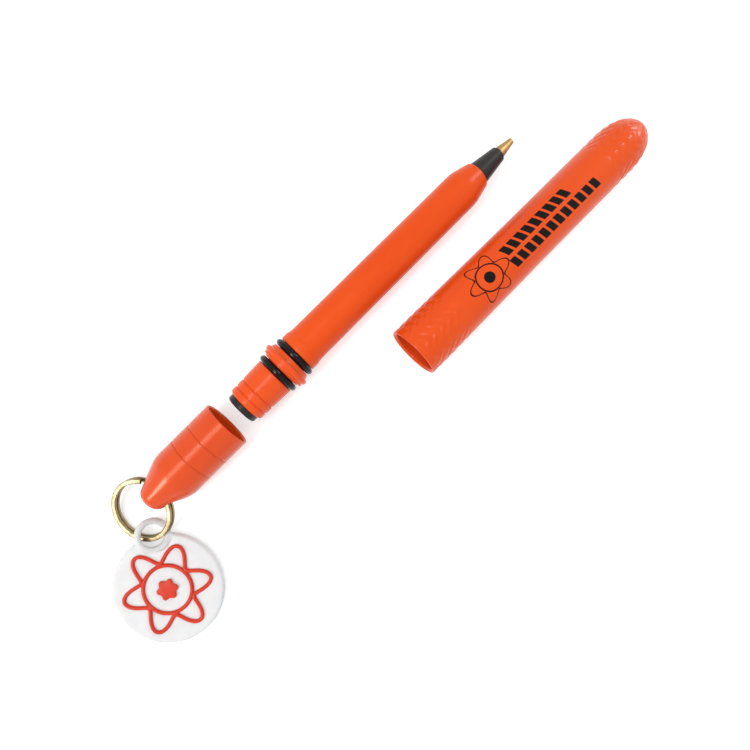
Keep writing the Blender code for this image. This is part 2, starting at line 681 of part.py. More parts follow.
def boss_radius(angle):
    """Radius of the lobed boss at an angle round the tag, with its lobes under the petals."""
    return BOSS_RADIUS - BOSS_LOBE_DEPTH / 2 * (1 + cos(ROSETTE_PETALS * angle))


def make_tag_relief(finish, tag):
    """Raised rosette: a petalled line joined to a ring."""
    petals = bmesh.new()
    raised_band(petals, polar_path(petal_radius, ROSETTE_STEPS))
    relief = add_object("tag_relief", petals, finish)
    ring = bmesh.new()
    raised_band(ring, polar_path(lambda angle: ROSETTE_RING_RADIUS, SIDES))
    ring_form = add_object("rosette_ring_form", ring)
    combine(relief, ring_form, "UNION")
    for item in (relief, ring_form):
        item.matrix_world = tag.matrix_world
    attach(ring_form, relief)
    return relief


def make_tag_boss(finish, tag):
    """Raised boss with rounded lobes in the middle of the rosette."""
    base = TAG_THICKNESS / 2 + SEAT_GAP
    top = base + RELIEF_HEIGHT
    levels = [(0, base), (0, top - RELIEF_EDGE), (RELIEF_EDGE, top)]
    shape = bmesh.new()
    rings = []
    for inset, height in levels:
        path = polar_path(lambda angle: boss_radius(angle) - inset, BOSS_STEPS)
        rings.append([shape.verts.new((point + Z_AXIS * height) * MM) for point in path])
    for one, two in zip(rings, rings[1:]):
        for index in range(BOSS_STEPS):
            following = (index + 1) % BOSS_STEPS
            shape.faces.new((one[index], one[following], two[following], two[index]))
    shape.faces.new(rings[0])
    shape.faces.new(rings[-1])
    boss = add_object("tag_boss", shape, finish)
    boss.matrix_world = tag.matrix_world
    return boss


def main():
    """Build every piece where it lies."""
    for item in list(bpy.data.objects):
        bpy.data.objects.remove(item, do_unlink=True)
    orange = srgb(238, 86, 36)
    barrel = make_barrel(material("barrel_plastic", orange, 0.42))
    rubber = material("o_ring_rubber", srgb(28, 27, 28), 0.38)
    fixed = [
        make_end_plug(material("plug_plastic", srgb(52, 49, 50), 0.5)),
        make_o_ring("rear_o_ring", REAR_GROOVE_START, rubber),
        make_o_ring("front_o_ring", FRONT_GROOVE_START, rubber),
    ]
    for piece in fixed:
        attach(piece, barrel)

    ink = material("ink", srgb(20, 20, 26), 0.3)
    grease = material("grease", srgb(214, 205, 170), 0.4)
    nose_cone = make_nose_cone(material("nose_plastic", srgb(65, 59, 60), 0.5))
    refill = [
        make_point(material("point_brass", srgb(200, 165, 90), 0.28, 1.0)),
        make_writing_ball(material("ball_steel", srgb(205, 205, 208), 0.15, 1.0)),
        make_ink_tube(material("tube_plastic", srgb(225, 228, 226), 0.35)),
        make_fill("ink_column", INK_FRONT, INK_LENGTH, ink),
        make_fill("ink_follower", FOLLOWER_FRONT, FOLLOWER_LENGTH, grease),
    ]
    for piece in refill:
        attach(piece, nose_cone)

    make_cap(material("cap_plastic", srgb(240, 91, 41), 0.4))
    tail_cap = make_tail_cap(material("tail_cap_plastic", srgb(233, 99, 59), 0.22))
    key_ring = make_key_ring(material("ring_brass", srgb(190, 165, 105), 0.3, 1.0))
    tag = make_tag(material("tag_vinyl", srgb(240, 240, 240), 0.55))
    red_vinyl = material("relief_vinyl", srgb(227, 70, 45), 0.5)
    for piece in (make_tag_relief(red_vinyl, tag), make_tag_boss(red_vinyl, tag)):
        attach(piece, tag)
    attach(tag, key_ring)
    attach(key_ring, tail_cap)


main()
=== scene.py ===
"""Compact capped ballpoint pen, laid open with its key-ring end and soft tag: finished pieces and stage."""

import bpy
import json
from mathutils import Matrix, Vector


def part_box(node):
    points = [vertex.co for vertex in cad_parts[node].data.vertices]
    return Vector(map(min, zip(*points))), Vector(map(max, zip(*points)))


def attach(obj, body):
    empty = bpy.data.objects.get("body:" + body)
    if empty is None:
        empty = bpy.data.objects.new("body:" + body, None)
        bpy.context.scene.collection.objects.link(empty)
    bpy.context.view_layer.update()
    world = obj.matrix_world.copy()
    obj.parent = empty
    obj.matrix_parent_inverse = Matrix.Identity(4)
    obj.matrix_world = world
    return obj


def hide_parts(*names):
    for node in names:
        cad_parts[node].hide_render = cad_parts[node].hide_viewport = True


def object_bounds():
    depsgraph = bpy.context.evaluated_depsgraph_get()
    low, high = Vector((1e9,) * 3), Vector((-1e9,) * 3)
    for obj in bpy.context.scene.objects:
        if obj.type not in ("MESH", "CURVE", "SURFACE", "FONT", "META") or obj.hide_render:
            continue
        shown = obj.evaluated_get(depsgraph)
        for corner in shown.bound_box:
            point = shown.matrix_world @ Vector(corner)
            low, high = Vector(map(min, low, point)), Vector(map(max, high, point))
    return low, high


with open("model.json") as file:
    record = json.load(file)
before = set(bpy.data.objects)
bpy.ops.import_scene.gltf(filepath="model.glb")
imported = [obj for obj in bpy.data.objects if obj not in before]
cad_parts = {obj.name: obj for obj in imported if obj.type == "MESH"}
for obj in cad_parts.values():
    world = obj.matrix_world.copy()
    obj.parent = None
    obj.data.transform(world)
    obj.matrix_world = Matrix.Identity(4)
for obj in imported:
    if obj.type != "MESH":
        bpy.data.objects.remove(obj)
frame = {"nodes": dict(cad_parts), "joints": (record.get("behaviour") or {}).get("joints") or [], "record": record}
CAD_BOX = [list(corner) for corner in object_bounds()]

import json
from math import atan2, cos, hypot, pi, radians, sin, tau

import bmesh
import bpy
import numpy as np
from bpy.props import FloatProperty, FloatVectorProperty, IntProperty, PointerProperty
from mathutils import Matrix, Vector

bl_info = {
    "name": "Pocket pen",
    "version": (1, 0, 0),
    "blender": (4, 5, 0),
    "location": "3D View > Sidebar > Pocket pen",
    "description": "Dresses the solids of a laid-open pocket pen with finished pieces and a studio stage",
    "category": "Object",
}

MM = 0.001
NEAR = 0.002 * MM
MERGE = 0.001 * MM

# Angles that tell a worked edge from a rounded form
CORNER = radians(33)
SMOOTH_BELOW = radians(38)

# Patterns of the finishes, in cells to a metre
MOTTLE = 120.0
GRAIN = 2400.0
SCUFF_LINES = 2600.0
SCUFF_PATCHES = 170.0
RUB_BREAKS = 900.0
DULL_PATCHES = 420.0
TURNING_LINES = 9000.0
DRAWING_LINES = 5200.0
CLOUDS = 260.0
DUST = 3100.0
SEAL_PEBBLE = 2600.0
PASTE_PEBBLE = 900.0
TAG_PEBBLE = 1500.0
RELIEF_PEBBLE = 1700.0
FLOOR_CLOUDS = 6.0

# How a pattern is drawn out, as a scale along, across and up
FLOW_STRETCH = (0.35, 1.0, 1.0)
SCUFF_STRETCH = (0.12, 1.0, 1.0)
TURNING_STRETCH = (1.0, 0.02, 0.02)

# Relief of the finishes, as depth and strength
MOULD_DEPTH = 0.02 * MM
MOULD_STRENGTH = 0.35
SOFT_RELIEF = (0.03 * MM, 0.3)
TURNING_RELIEF = (0.015 * MM, 0.4)
DRAWING_RELIEF = (0.01 * MM, 0.1)

# Satin plastic of the barrel and the cap
SATIN = {"roughness": (0.34, 0.5), "Specular_IOR_Level": 0.15, "Coat_Roughness": 0.1}

# Coat weights of the orange plastic: the barrel's stub and tube, and the cap beside its matt print
STUB_GLOSS = 0.24
TUBE_GLOSS = 0.07
CAP_GLOSS = 0.25

# Half the length, in millimetres, over which the barrel's gloss changes at its front seal
GLOSS_FADE = 1.0

# Insides of the key-ring end and the cap, which carry painted light and painted shade: radius and depth that tell
# them from the outside, in millimetres
TAIL_INSIDE_RADIUS = 5.25
TAIL_INSIDE_DEPTH = 12.5
MOUTH_ZONE = 12.0
MOUTH_FADE = 1.0
MOUTH_INSIDE_RADIUS = 5.42
INSIDE_RADIUS = 5.15
INSIDE_DEPTH = 50.0

# Print on the cap: places from its mouth, and sizes, in millimetres
PRINT_CENTRE = 20.05
PRINT_OFFSET = 0.05
PRINT_TIP = 5.0
PRINT_HEART = 3.1
PRINT_RING = 2.75
PRINT_BOSS = 1.15
PRINT_LINE = 0.32
PRINT_SOFT = 0.05
PRINT_PETALS = 6
PRINT_LEAST_RADIUS = 5.05

# Rows of slanting dashes in the print, as start, offset across and number of dashes
DASH_ROWS = ((25.6, 1.5, 9), (24.6, -1.5, 12))
DASH_PITCH = 2.0
DASH_LENGTH = 1.45
DASH_HEIGHT = 2.2
DASH_SLANT = 0.3


def srgb(*levels):
    """Linear colour of an 8-bit screen colour."""
    shares = [level / 255 for level in levels]
    return tuple(share / 12.92 if share <= 0.04045 else ((share + 0.055) / 1.055) ** 2.4 for share in shares)


def length(name, description, millimetres):
    """A length that a user may change."""
    return FloatProperty(name=name, description=description, default=millimetres * MM, min=0.0,
                         precision=5, subtype="DISTANCE", unit="LENGTH")


def colour(name, description, *screen):
    """A colour that a user may change."""
    return FloatVectorProperty(name=name, description=description, default=srgb(*screen), min=0.0, max=1.0,
                               size=3, subtype="COLOR")


def number(name, description, value, least=1):
    """A count that a user may change."""
    return IntProperty(name=name, description=description, default=value, min=least)


def power(name, description, watts):
    """A lamp's power that a user may change."""
    return FloatProperty(name=name, description=description, default=watts, min=0.0,
                         subtype="POWER", unit="POWER")


class PocketPenSizes(bpy.types.PropertyGroup):
    """Sizes of the finished surface."""

    sides: number("Sides", "Steps round a turned piece before it is smoothed", 80, 12)
    edge: length("Edge", "Width of the softened edges of moulded pieces", 0.09)
    fine_edge: length("Fine edge", "Width of the softened edges of small turned pieces", 0.05)
    trim_edge: length("Trim edge", "Width of the rounded edges of the key-ring end and its grooves", 0.11)
    longest: length("Longest step", "Longest straight step along a turned outline", 1.6)
    seal_section: length("Seal section", "Thickness of a seal ring's round section", 1.45)
    seal_seam: length("Seal seam", "Height of the moulding seam round a seal ring", 0.03)

    cap_sides: number("Cap sides", "Steps round the cap before it is smoothed", 44, 12)
    grip_step: length("Grip step", "Longest step along the cap where it carries the grip", 0.8)
    grip_at_mouth: length("Grip at mouth", "Length of the chevron grip next to the cap's mouth", 12.0)
    grip_at_dome: length("Grip at dome", "Length of the chevron grip at the cap's dome", 14.0)
    grip_pitch: length("Grip pitch", "Spacing of the chevron ribs along the cap", 2.0)
    grip_depth: length("Grip depth", "Depth of the valleys between the chevron ribs", 0.12)
    grip_columns: number("Grip columns", "Chevrons round the cap", 8)

    hole_radius: length("Nose hole", "Radius of the cross hole for the split ring", 1.57)
    hole_flare: length("Hole flare", "Width of the flare at each end of the cross hole", 0.5)
    hole_sides: number("Hole sides", "Steps round the cross hole", 48, 12)

    ring_radius: length("Ring radius", "Radius of the split ring at the middle of its wire", 6.47)
    wire_width: length("Wire width", "Width of the split ring's wire, outwards", 1.05)
    wire_thickness: length("Wire thickness", "Thickness of one turn of the wire", 0.6)
    wire_round: length("Wire round", "Rounding of the wire's corners", 0.2)
    coil_gap: length("Coil gap", "Gap between the two turns of the wire", 0.45)
    turn_steps: number("Turn steps", "Steps along one turn of the wire", 120, 24)

    tag_radius: length("Tag radius", "Radius of the tag's disc", 11.63)
    tag_thickness: length("Tag thickness", "Thickness of the tag's disc", 2.0)
    tag_edge: length("Tag edge", "Rounding of the disc's edges", 0.65)
    tag_reach: length("Tag reach", "Distance from the middle of the ear to the middle of the disc", 11.5)
    ear_radius: length("Ear radius", "Radius of the ear's loop at the middle of its section", 3.05)
    ear_section: length("Ear section", "Radius of the ear's round section", 0.7)
    ear_margin: length("Ear margin", "How far the hole cut for the ear passes the loop's middle line", 0.4)
    tag_grain: length("Tag mesh", "Cell size at which the disc and ear are fused", 0.13)

    relief_height: length("Relief height", "Height of the raised line on the tag", 0.5)
    relief_width: length("Relief width", "Width of the raised line", 0.85)
    relief_gap: length("Relief gap", "Gap between the disc and the raised line", 0.05)
    relief_grain: length("Relief mesh", "Cell size at which the raised lines are fused", 0.065)
    petals: number("Petals", "Petals of the rosette", 6, 3)
    petal_tip: length("Petal tip", "Radius of the rosette at the tips of its petals", 9.3)
    petal_heart: length("Petal heart", "Radius of the rosette between its petals", 5.6)
    heart_ring: length("Heart ring", "Radius of the ring inside the petals", 5.05)
    boss_radius: length("Boss radius", "Radius of the boss in the middle, at its lobes", 2.3)
    boss_lobes: length("Boss lobes", "Depth of the hollows between the boss's lobes", 0.5)
    boss_edge: length("Boss edge", "Rounding of the boss's upper edge", 0.22)


class PocketPenColours(bpy.types.PropertyGroup):
    """Colours of the finishes."""

    barrel: colour("Barrel", "Orange of the barrel", 240, 87, 23)
    barrel_shade: colour("Barrel shade", "Deeper orange where the barrel's moulding flowed", 234, 79, 18)
    cap: colour("Cap", "Orange of the cap", 239, 85, 14)
    cap_shade: colour("Cap shade", "Deeper orange where the cap's moulding flowed", 233, 77, 10)
    # Painted shade: the cap's bore gets this darker orange because little light reaches it; it is not an
    # unpolished finish
    cap_bore_painted_shade: colour("Cap inside", "Deeper orange of the cap's unpolished bore", 220, 73, 21)
    tail_cap: colour("Key-ring end", "Orange of the key-ring end", 227, 77, 30)
    tail_cap_shade: colour("Key-ring end shade", "Deeper orange of the key-ring end", 221, 69, 25)
    # Painted light: the key-ring end's bore gets this paler orange to lighten the shade inside it
    tail_cap_bore_painted_light: colour("Key-ring end inside", "Orange of the key-ring end's bore", 250, 100, 30)
    rub: colour("Rubbed edge", "Paler orange where edges are rubbed", 246, 128, 84)
    seal: colour("Seal", "Black of the seal rings", 8, 7, 10)
    seal_shade: colour("Seal bloom", "Grey bloom on the seal rings", 17, 15, 19)
    plug: colour("End plug", "Dark grey of the end plug", 32, 30, 34)
    plug_shade: colour("End plug shade", "Darker grey of the end plug", 23, 22, 25)
    nose: colour("Nose cone", "Near-black of the nose cone", 52, 46, 47)
    nose_shade: colour("Nose cone shade", "Darker tone of the nose cone", 41, 36, 37)
    point: colour("Point", "Brass of the writing point", 194, 160, 104)
    point_shade: colour("Point shade", "Darker brass in the turning marks", 142, 111, 64)
    ball: colour("Ball", "Steel of the writing ball", 196, 196, 200)
    ball_shade: colour("Ball shade", "Darker steel of the writing ball", 150, 150, 156)
    ring: colour("Split ring", "Plated brass of the split ring", 166, 150, 116)
    ring_shade: colour("Split ring shade", "Dull brass in the drawing lines", 113, 98, 68)
    vinyl: colour("Tag", "White of the tag", 230, 231, 231)
    vinyl_shade: colour("Tag shade", "Greyer white of the tag", 222, 223, 225)
    relief: colour("Relief", "Orange-red of the raised line", 216, 56, 24)
    relief_shade: colour("Relief shade", "Deeper red of the raised line", 199, 44, 16)
    tube: colour("Reservoir", "Milky white of the reservoir tube", 226, 228, 226)
    tube_shade: colour("Reservoir shade", "Greyer tone of the reservoir tube", 208, 212, 210)
    ink: colour("Ink", "Black of the ink", 18, 18, 26)
    ink_shade: colour("Ink shade", "Lighter film on the ink", 30, 30, 42)
    grease: colour("Follower", "Pale follower grease", 214, 205, 170)
    grease_shade: colour("Follower shade", "Yellower follower grease", 200, 186, 142)
    print_black: colour("Print", "Black of the print on the cap", 7, 5, 5)
    floor: colour("Floor", "Pale floor", 233, 237, 238)


class PocketPenStage(bpy.types.PropertyGroup):
    """Camera and light."""

    lens: FloatProperty(name="Lens", description="Focal length of the camera", default=25.0, min=1.0,
                        subtype="DISTANCE_CAMERA")
    aim: FloatVectorProperty(name="Aim", description="Point in the middle of the picture",
                             default=(24.4 * MM, -14.28 * MM, 0.0), size=3, subtype="TRANSLATION")
    stand: FloatVectorProperty(name="Stand", description="Where the camera stands, above the parts",
                               default=(13.0 * MM, -13.0 * MM, 106.3 * MM), size=3, subtype="TRANSLATION")
    lean: FloatProperty(name="Lean", description="Lean of the view along the pen, away from straight down",
                        default=radians(1.0), subtype="ANGLE")
    turn: FloatProperty(name="Turn", description="Turn of the picture about the view", default=radians(-45),
                        subtype="ANGLE")
    strip_power: power("Strip light", "Power of the strip above the key-ring end and the seals", 0.75)
    end_power: power("End light", "Power of the strip that glints on the cone of the key-ring end", 3.6)
    dome_power: power("Dome light", "Power of the light that glints on the dome of the cap", 4.5)
    surround: FloatProperty(name="Surround", description="Strength of the even light from all round",
                            default=0.53, min=0.0)
    floor_lift: FloatProperty(name="Floor lift", description="Brightness that the floor shows of itself",
                              default=0.46, min=0.0, max=1.0)


def sizes():
    """The sizes in use."""
    return bpy.context.scene.pocket_pen_sizes


def colours():
    """The colours in use."""
    return bpy.context.scene.pocket_pen_colours


def joint_place(name):
    """Place of a joint of the record."""
    return Vector(next(joint["pos_m"] for joint in frame["joints"] if joint["name"] == name))


def mount_place(name):
    """Place of a mount of the record."""
    return Vector(next(mount["pos_m"] for mount in frame["record"]["mounts"] if mount["name"] == name))


def middle_of(node):
    """Middle of a solid's box, which lies on its axis."""
    low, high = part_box(node)
    return (Vector(low) + Vector(high)) / 2


def radius_of(node):
    """Largest radius of a turned solid, half the height of its box."""
    low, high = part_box(node)
    return (high[2] - low[2]) / 2


def ease(value, low, high):
    """Smooth step from 0 to 1 between two values."""
    share = min(1.0, max(0.0, (value - low) / (high - low)))
    return share * share * (3 - 2 * share)


def lie_open():
    """Leave edit mode with nothing selected."""
    if bpy.context.mode != "OBJECT":
        bpy.ops.object.mode_set(mode="OBJECT")
    bpy.ops.object.select_all(action="DESELECT")


def pick(piece):
    """Select one piece alone and make it active."""
    lie_open()
    piece.select_set(True)
    bpy.context.view_layer.objects.active = piece


def edit(piece):
    """Open a piece in edit mode with all of it selected."""
    pick(piece)
    bpy.ops.object.mode_set(mode="EDIT")
    bpy.ops.mesh.select_mode(type="VERT")
    bpy.ops.mesh.select_all(action="SELECT")


def close_edit():
    """Go back to object mode."""
    bpy.ops.object.mode_set(mode="OBJECT")


def merge():
    """Merge the points that lie on each other."""
    bpy.ops.mesh.select_all(action="SELECT")
    bpy.ops.mesh.remove_doubles(threshold=MERGE)


def face_outwards():
    """Turn all faces outwards and go back to object mode."""
    bpy.ops.mesh.select_all(action="SELECT")
    bpy.ops.mesh.normals_make_consistent(inside=False)
    close_edit()


def select_points(piece, chosen):
    """Select the points whose place passes a test."""
    bpy.ops.mesh.select_mode(type="VERT")
    bpy.ops.mesh.select_all(action="DESELECT")
    shape = bmesh.from_edit_mesh(piece.data)
    for point in shape.verts:
        point.select_set(chosen(point.co))
    shape.select_flush_mode()
    bmesh.update_edit_mesh(piece.data)


def select_edges(piece, chosen):
    """Select the edges that pass a test, and say how many there are."""
    bpy.ops.mesh.select_mode(type="EDGE")
    bpy.ops.mesh.select_all(action="DESELECT")
    shape = bmesh.from_edit_mesh(piece.data)
    found = [line for line in shape.edges if chosen(line)]
    for line in found:
        line.select_set(True)
    bmesh.update_edit_mesh(piece.data)
    return len(found)


def start_from(primitive, name, **settings):
    """Add a primitive with nothing else selected, and name it."""
    lie_open()
    primitive(**settings)
    piece = bpy.context.object
    piece.name = name
    return piece


def apply_modifier(piece, kind, **settings):
    """Add a modifier to a piece and apply it."""
    pick(piece)
    bpy.ops.object.modifier_add(type=kind)
    modifier = piece.modifiers[-1]
    for key, value in settings.items():
        setattr(modifier, key, value)
    bpy.ops.object.modifier_apply(modifier=modifier.name)


def combine(piece, operation, form):
    """Cut a form out of a piece or add it, and remove the form."""
    apply_modifier(piece, "BOOLEAN", operation=operation, object=form, solver="EXACT")
    bpy.data.objects.remove(form, do_unlink=True)


def fuse(piece, grain, passes):
    """Fuse a piece's forms into one skin and smooth it."""
    apply_modifier(piece, "REMESH", mode="VOXEL", voxel_size=grain, adaptivity=0.0)
    apply_modifier(piece, "SMOOTH", factor=0.5, iterations=passes)


def place_in_mesh(piece, place=None):
    """Move a piece to a place, or leave it where it is, and keep the place in its mesh."""
    piece.matrix_world = piece.matrix_world.copy() if place is None else place
    pick(piece)
    bpy.ops.object.transform_apply(location=True, rotation=True, scale=True)


def finish_piece(piece, finish, body, node):
    """Give a piece its finish and its body, and hide the solid that it stands for."""
    piece.data.materials.clear()
    piece.data.materials.append(finish.material)
    pick(piece)
    bpy.ops.object.shade_smooth_by_angle(angle=SMOOTH_BELOW)
    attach(piece, body)
    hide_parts(node)
    lie_open()


def outline_of(node, name):
    """Start a turned piece from a solid's outline in the half plane above its axis."""
    centre = middle_of(node)
    piece = bpy.data.objects.new(name, frame["nodes"][node].data.copy())
    bpy.context.collection.objects.link(piece)
    edit(piece)
    merge()
    select_points(piece, lambda place: abs(place.y - centre.y) > NEAR or place.z < centre.z - NEAR)
    bpy.ops.mesh.delete(type="VERT")
    reach_axis(piece, centre)
    return piece, centre


def reach_axis(piece, centre):
    """Carry the outline's loose ends down to the axis, so that a flat end is closed."""
    shape = bmesh.from_edit_mesh(piece.data)
    ends = [point.co.copy() for point in shape.verts
            if len(point.link_edges) == 1 and point.co.z > centre.z + NEAR]
    for end in ends:
        select_points(piece, lambda place: (place - end).length < NEAR)
        bpy.ops.mesh.extrude_vertices_move(TRANSFORM_OT_translate={"value": (0, 0, centre.z - end.z)})


def even_steps(piece, longest_at):
    """Cut the outline's long edges until none is longer than its place allows."""
    def too_long(line):
        middle = (line.verts[0].co + line.verts[1].co) / 2
        return line.calc_length() > longest_at(middle)
    while select_edges(piece, too_long):
        bpy.ops.mesh.subdivide(number_cuts=1)


def spin_round(centre, sides):
    """Turn the outline that is open in edit mode into a closed form about its axis."""
    bpy.ops.mesh.select_all(action="SELECT")
    bpy.ops.mesh.spin(steps=sides, angle=tau, center=centre, axis=(1, 0, 0))
    merge()
    face_outwards()


def soften(piece, edge, levels):
    """Round the worked edges and smooth the rest."""
    apply_modifier(piece, "BEVEL", width=edge, segments=2, limit_method="ANGLE", angle_limit=CORNER,
                   use_clamp_overlap=True)
    apply_modifier(piece, "SUBSURF", levels=levels, render_levels=levels)


def turned_piece(node, name, edge):
    """A smooth turned piece with the outline of its solid."""
    piece, centre = outline_of(node, name)
    even_steps(piece, lambda place: sizes().longest)
    spin_round(centre, sizes().sides)
    soften(piece, edge, 1)
    return piece


class NodeSheet:
    """Short ways to lay nodes in a tree."""

    def __init__(self, tree):
        self.tree = tree

    def link(self, source, target):
        self.tree.links.new(source, target)

    def feed(self, target, value):
        """Link a socket, or set a plain value; a colour gets its fourth value."""
        if isinstance(value, bpy.types.NodeSocket):
            self.link(value, target)
        elif target.type == "RGBA":
            target.default_value = (*value, 1.0)
        else:
            target.default_value = value

    def add(self, kind, inputs=None, **settings):
        """Lay a node with its settings, and feed its inputs by name or number."""
        node = self.tree.nodes.new(kind)
        for key, value in settings.items():
            setattr(node, key, value)
        for key, value in (inputs or {}).items():
            self.feed(node.inputs[key], value)
        return node

    def math(self, operation, *values):
        return self.add("ShaderNodeMath", dict(enumerate(values)), operation=operation).outputs[0]

    def times(self, one, two):
        return self.math("MULTIPLY", one, two)

    def minus(self, one, two):
        return self.math("SUBTRACT", one, two)

    def apart(self, one, two):
        return self.math("ABSOLUTE", self.minus(one, two))

    def larger(self, one, two):
        return self.math("MAXIMUM", one, two)

    def weighted(self, one, share, two, other_share):
        return self.math("MULTIPLY_ADD", one, share, self.times(two, other_share))

    def reach(self, one, two):
        """Distance from the origin of a point with these two coordinates."""
        return self.math("SQRT", self.weighted(one, one, two, two))

    def scaled(self, vector, scale):
        return self.add("ShaderNodeVectorMath", {0: vector, 1: scale}, operation="MULTIPLY").outputs[0]

    def parts(self, vector):
        return self.add("ShaderNodeSeparateXYZ", {0: vector}).outputs

    def noise(self, vector, scale, detail=2.0, roughness=0.5):
        inputs = {"Vector": vector, "Scale": scale, "Detail": detail, "Roughness": roughness}
        return self.add("ShaderNodeTexNoise", inputs).outputs["Fac"]

    def spread(self, value, low, high, to_low=0.0, to_high=1.0, kind="LINEAR"):
        inputs = {"Value": value, "From Min": low, "From Max": high, "To Min": to_low, "To Max": to_high}
        return self.add("ShaderNodeMapRange", inputs, interpolation_type=kind).outputs["Result"]

    def fade(self, value, low, high, start=0.0, end=1.0):
        return self.spread(value, low, high, start, end, "SMOOTHSTEP")

    def mix(self, share, one, two):
        return self.add("ShaderNodeMix", {0: share, 6: one, 7: two}, data_type="RGBA").outputs[2]

    def place(self):
        return self.add("ShaderNodeTexCoord").outputs["Object"]

    def group(self, name, **inputs):
        """Place a skin's node group, feed its inputs by name and give its outputs."""
        return self.add("ShaderNodeGroup", inputs, node_tree=skin_group(name)).outputs


class Finish(NodeSheet):
    """A material with its shader, and the colour that reaches the shader so far."""

    def __init__(self, name, **constants):
        """Set what is the same all over on the shader's own sockets."""
        self.material = bpy.data.materials.new(name)
        self.material.use_nodes = True
        super().__init__(self.material.node_tree)
        self.shader = self.tree.nodes["Principled BSDF"]
        for key, value in constants.items():
            self.feed(self.shader.inputs[key.replace("_", " ")], value)

    def drive(self, socket, value):
        """Link what changes over the surface to the shader."""
        self.link(value, self.shader.inputs[socket])

    def paint(self, tone):
        """Link a colour to the shader in place of the one before."""
        self.tone = tone
        self.drive("Base Color", tone)

    def lay_skin(self, skin, depth, strength):
        """Feed a skin's colour, roughness and relief to the shader."""
        self.paint(skin["Color"])
        self.drive("Roughness", skin["Roughness"])
        relief = {"Strength": strength, "Distance": depth, "Height": skin["Height"]}
        bump = self.add("ShaderNodeBump", relief)
        self.drive("Normal", bump.outputs["Normal"])


def put_out(sheet, given, out, shade, sheen, height):
    """Put out a skin's colour, roughness and height; sheen is a value with its lowest and highest."""
    sheet.link(sheet.mix(shade, given["Base"], given["Shade"]), out["Color"])
    sheet.link(sheet.spread(*sheen, given["Smooth"], given["Rough"]), out["Roughness"])
    sheet.link(height, out["Height"])


def moulded_skin(sheet, given, out):
    """Flow mottling, a fine skin grain and faint handling scuffs of a moulded piece."""
    place = sheet.place()
    flow = sheet.noise(sheet.scaled(place, FLOW_STRETCH), given["Mottle"], detail=3.0, roughness=0.6)
    grain = sheet.noise(place, given["Grain"], roughness=0.55)
    scuff = sheet.noise(sheet.scaled(place, SCUFF_STRETCH), SCUFF_LINES, detail=3.0, roughness=0.65)
    patch = sheet.noise(place, SCUFF_PATCHES)
    worn = sheet.times(sheet.fade(scuff, 0.56, 0.72), sheet.fade(patch, 0.42, 0.68))
    sheen = sheet.weighted(grain, 0.3, worn, 0.75)
    height = sheet.math("MULTIPLY_ADD", worn, -0.35, grain)
    put_out(sheet, given, out, sheet.fade(flow, 0.32, 0.72), (sheen, 0.0, 1.0), height)


def edge_rub(sheet, given, out):
    """Convex edges rubbed paler, broken up by a fine noise."""
    convex = sheet.add("ShaderNodeNewGeometry").outputs["Pointiness"]
    breaks = sheet.noise(sheet.place(), RUB_BREAKS, detail=3.0, roughness=0.6)
    rubbed = sheet.times(sheet.fade(convex, 0.53, 0.62), sheet.fade(breaks, 0.38, 0.62))
    share = sheet.times(rubbed, given["Amount"])
    sheet.link(sheet.mix(share, given["Color"], given["Rub"]), out["Color"])


def worked_metal(sheet, given, out):
    """Fine tool lines across a given place, with dull patches."""
    lines = sheet.noise(given["Place"], given["Lines"], detail=4.0, roughness=0.7)
    dull = sheet.noise(sheet.place(), DULL_PATCHES, detail=3.0, roughness=0.6)
    stain = sheet.weighted(dull, 0.55, lines, 0.45)
    put_out(sheet, given, out, sheet.fade(stain, 0.4, 0.66), (stain, 0.3, 0.7), lines)


def soft_skin(sheet, given, out):
    """The cloudy, finely pebbled skin of rubber and soft vinyl, with specks of dust."""
    place = sheet.place()
    cloud = sheet.fade(sheet.noise(place, CLOUDS, detail=4.0, roughness=0.6), 0.36, 0.7)
    speck = sheet.fade(sheet.noise(place, DUST, detail=1.0), 0.7, 0.76)
    pebble = sheet.noise(place, given["Pebble"])
    shade = sheet.larger(sheet.times(cloud, 0.7), speck)
    put_out(sheet, given, out, shade, (sheet.weighted(pebble, 0.5, cloud, 0.5), 0.2, 0.8), pebble)


FLOAT = "NodeSocketFloat"
COLOUR = "NodeSocketColor"
VECTOR = "NodeSocketVector"
SKIN_INPUTS = {"Base": COLOUR, "Shade": COLOUR, "Smooth": FLOAT, "Rough": FLOAT}
SKIN_OUTPUTS = {"Color": COLOUR, "Roughness": FLOAT, "Height": FLOAT}

# Node groups by name: how each is laid out, what it takes and what it puts out
SKINS = {
    "moulded_skin": (moulded_skin, {**SKIN_INPUTS, "Mottle": FLOAT, "Grain": FLOAT}, SKIN_OUTPUTS),
    "edge_rub": (edge_rub, {"Color": COLOUR, "Rub": COLOUR, "Amount": FLOAT}, {"Color": COLOUR}),
    "worked_metal": (worked_metal, {**SKIN_INPUTS, "Place": VECTOR, "Lines": FLOAT}, SKIN_OUTPUTS),
    "soft_skin": (soft_skin, {**SKIN_INPUTS, "Pebble": FLOAT}, SKIN_OUTPUTS),
}


def skin_group(name):
    """The node group of this name, laid out the first time that it is asked for."""
    if name not in bpy.data.node_groups:
        lay, inputs, outputs = SKINS[name]
        tree = bpy.data.node_groups.new(name, "ShaderNodeTree")
        for sockets, side in ((inputs, "INPUT"), (outputs, "OUTPUT")):
            for label, kind in sockets.items():
                tree.interface.new_socket(name=label, in_out=side, socket_type=kind)
        sheet = NodeSheet(tree)
        lay(sheet, sheet.add("NodeGroupInput").outputs, sheet.add("NodeGroupOutput").inputs)
    return bpy.data.node_groups[name]


def skin_tones(tone, roughness):
    """What every skin takes: a colour with its shade, and its least and most roughness."""
    return {"Base": getattr(colours(), tone), "Shade": getattr(colours(), f"{tone}_shade"),
            "Smooth": roughness[0], "Rough": roughness[1]}


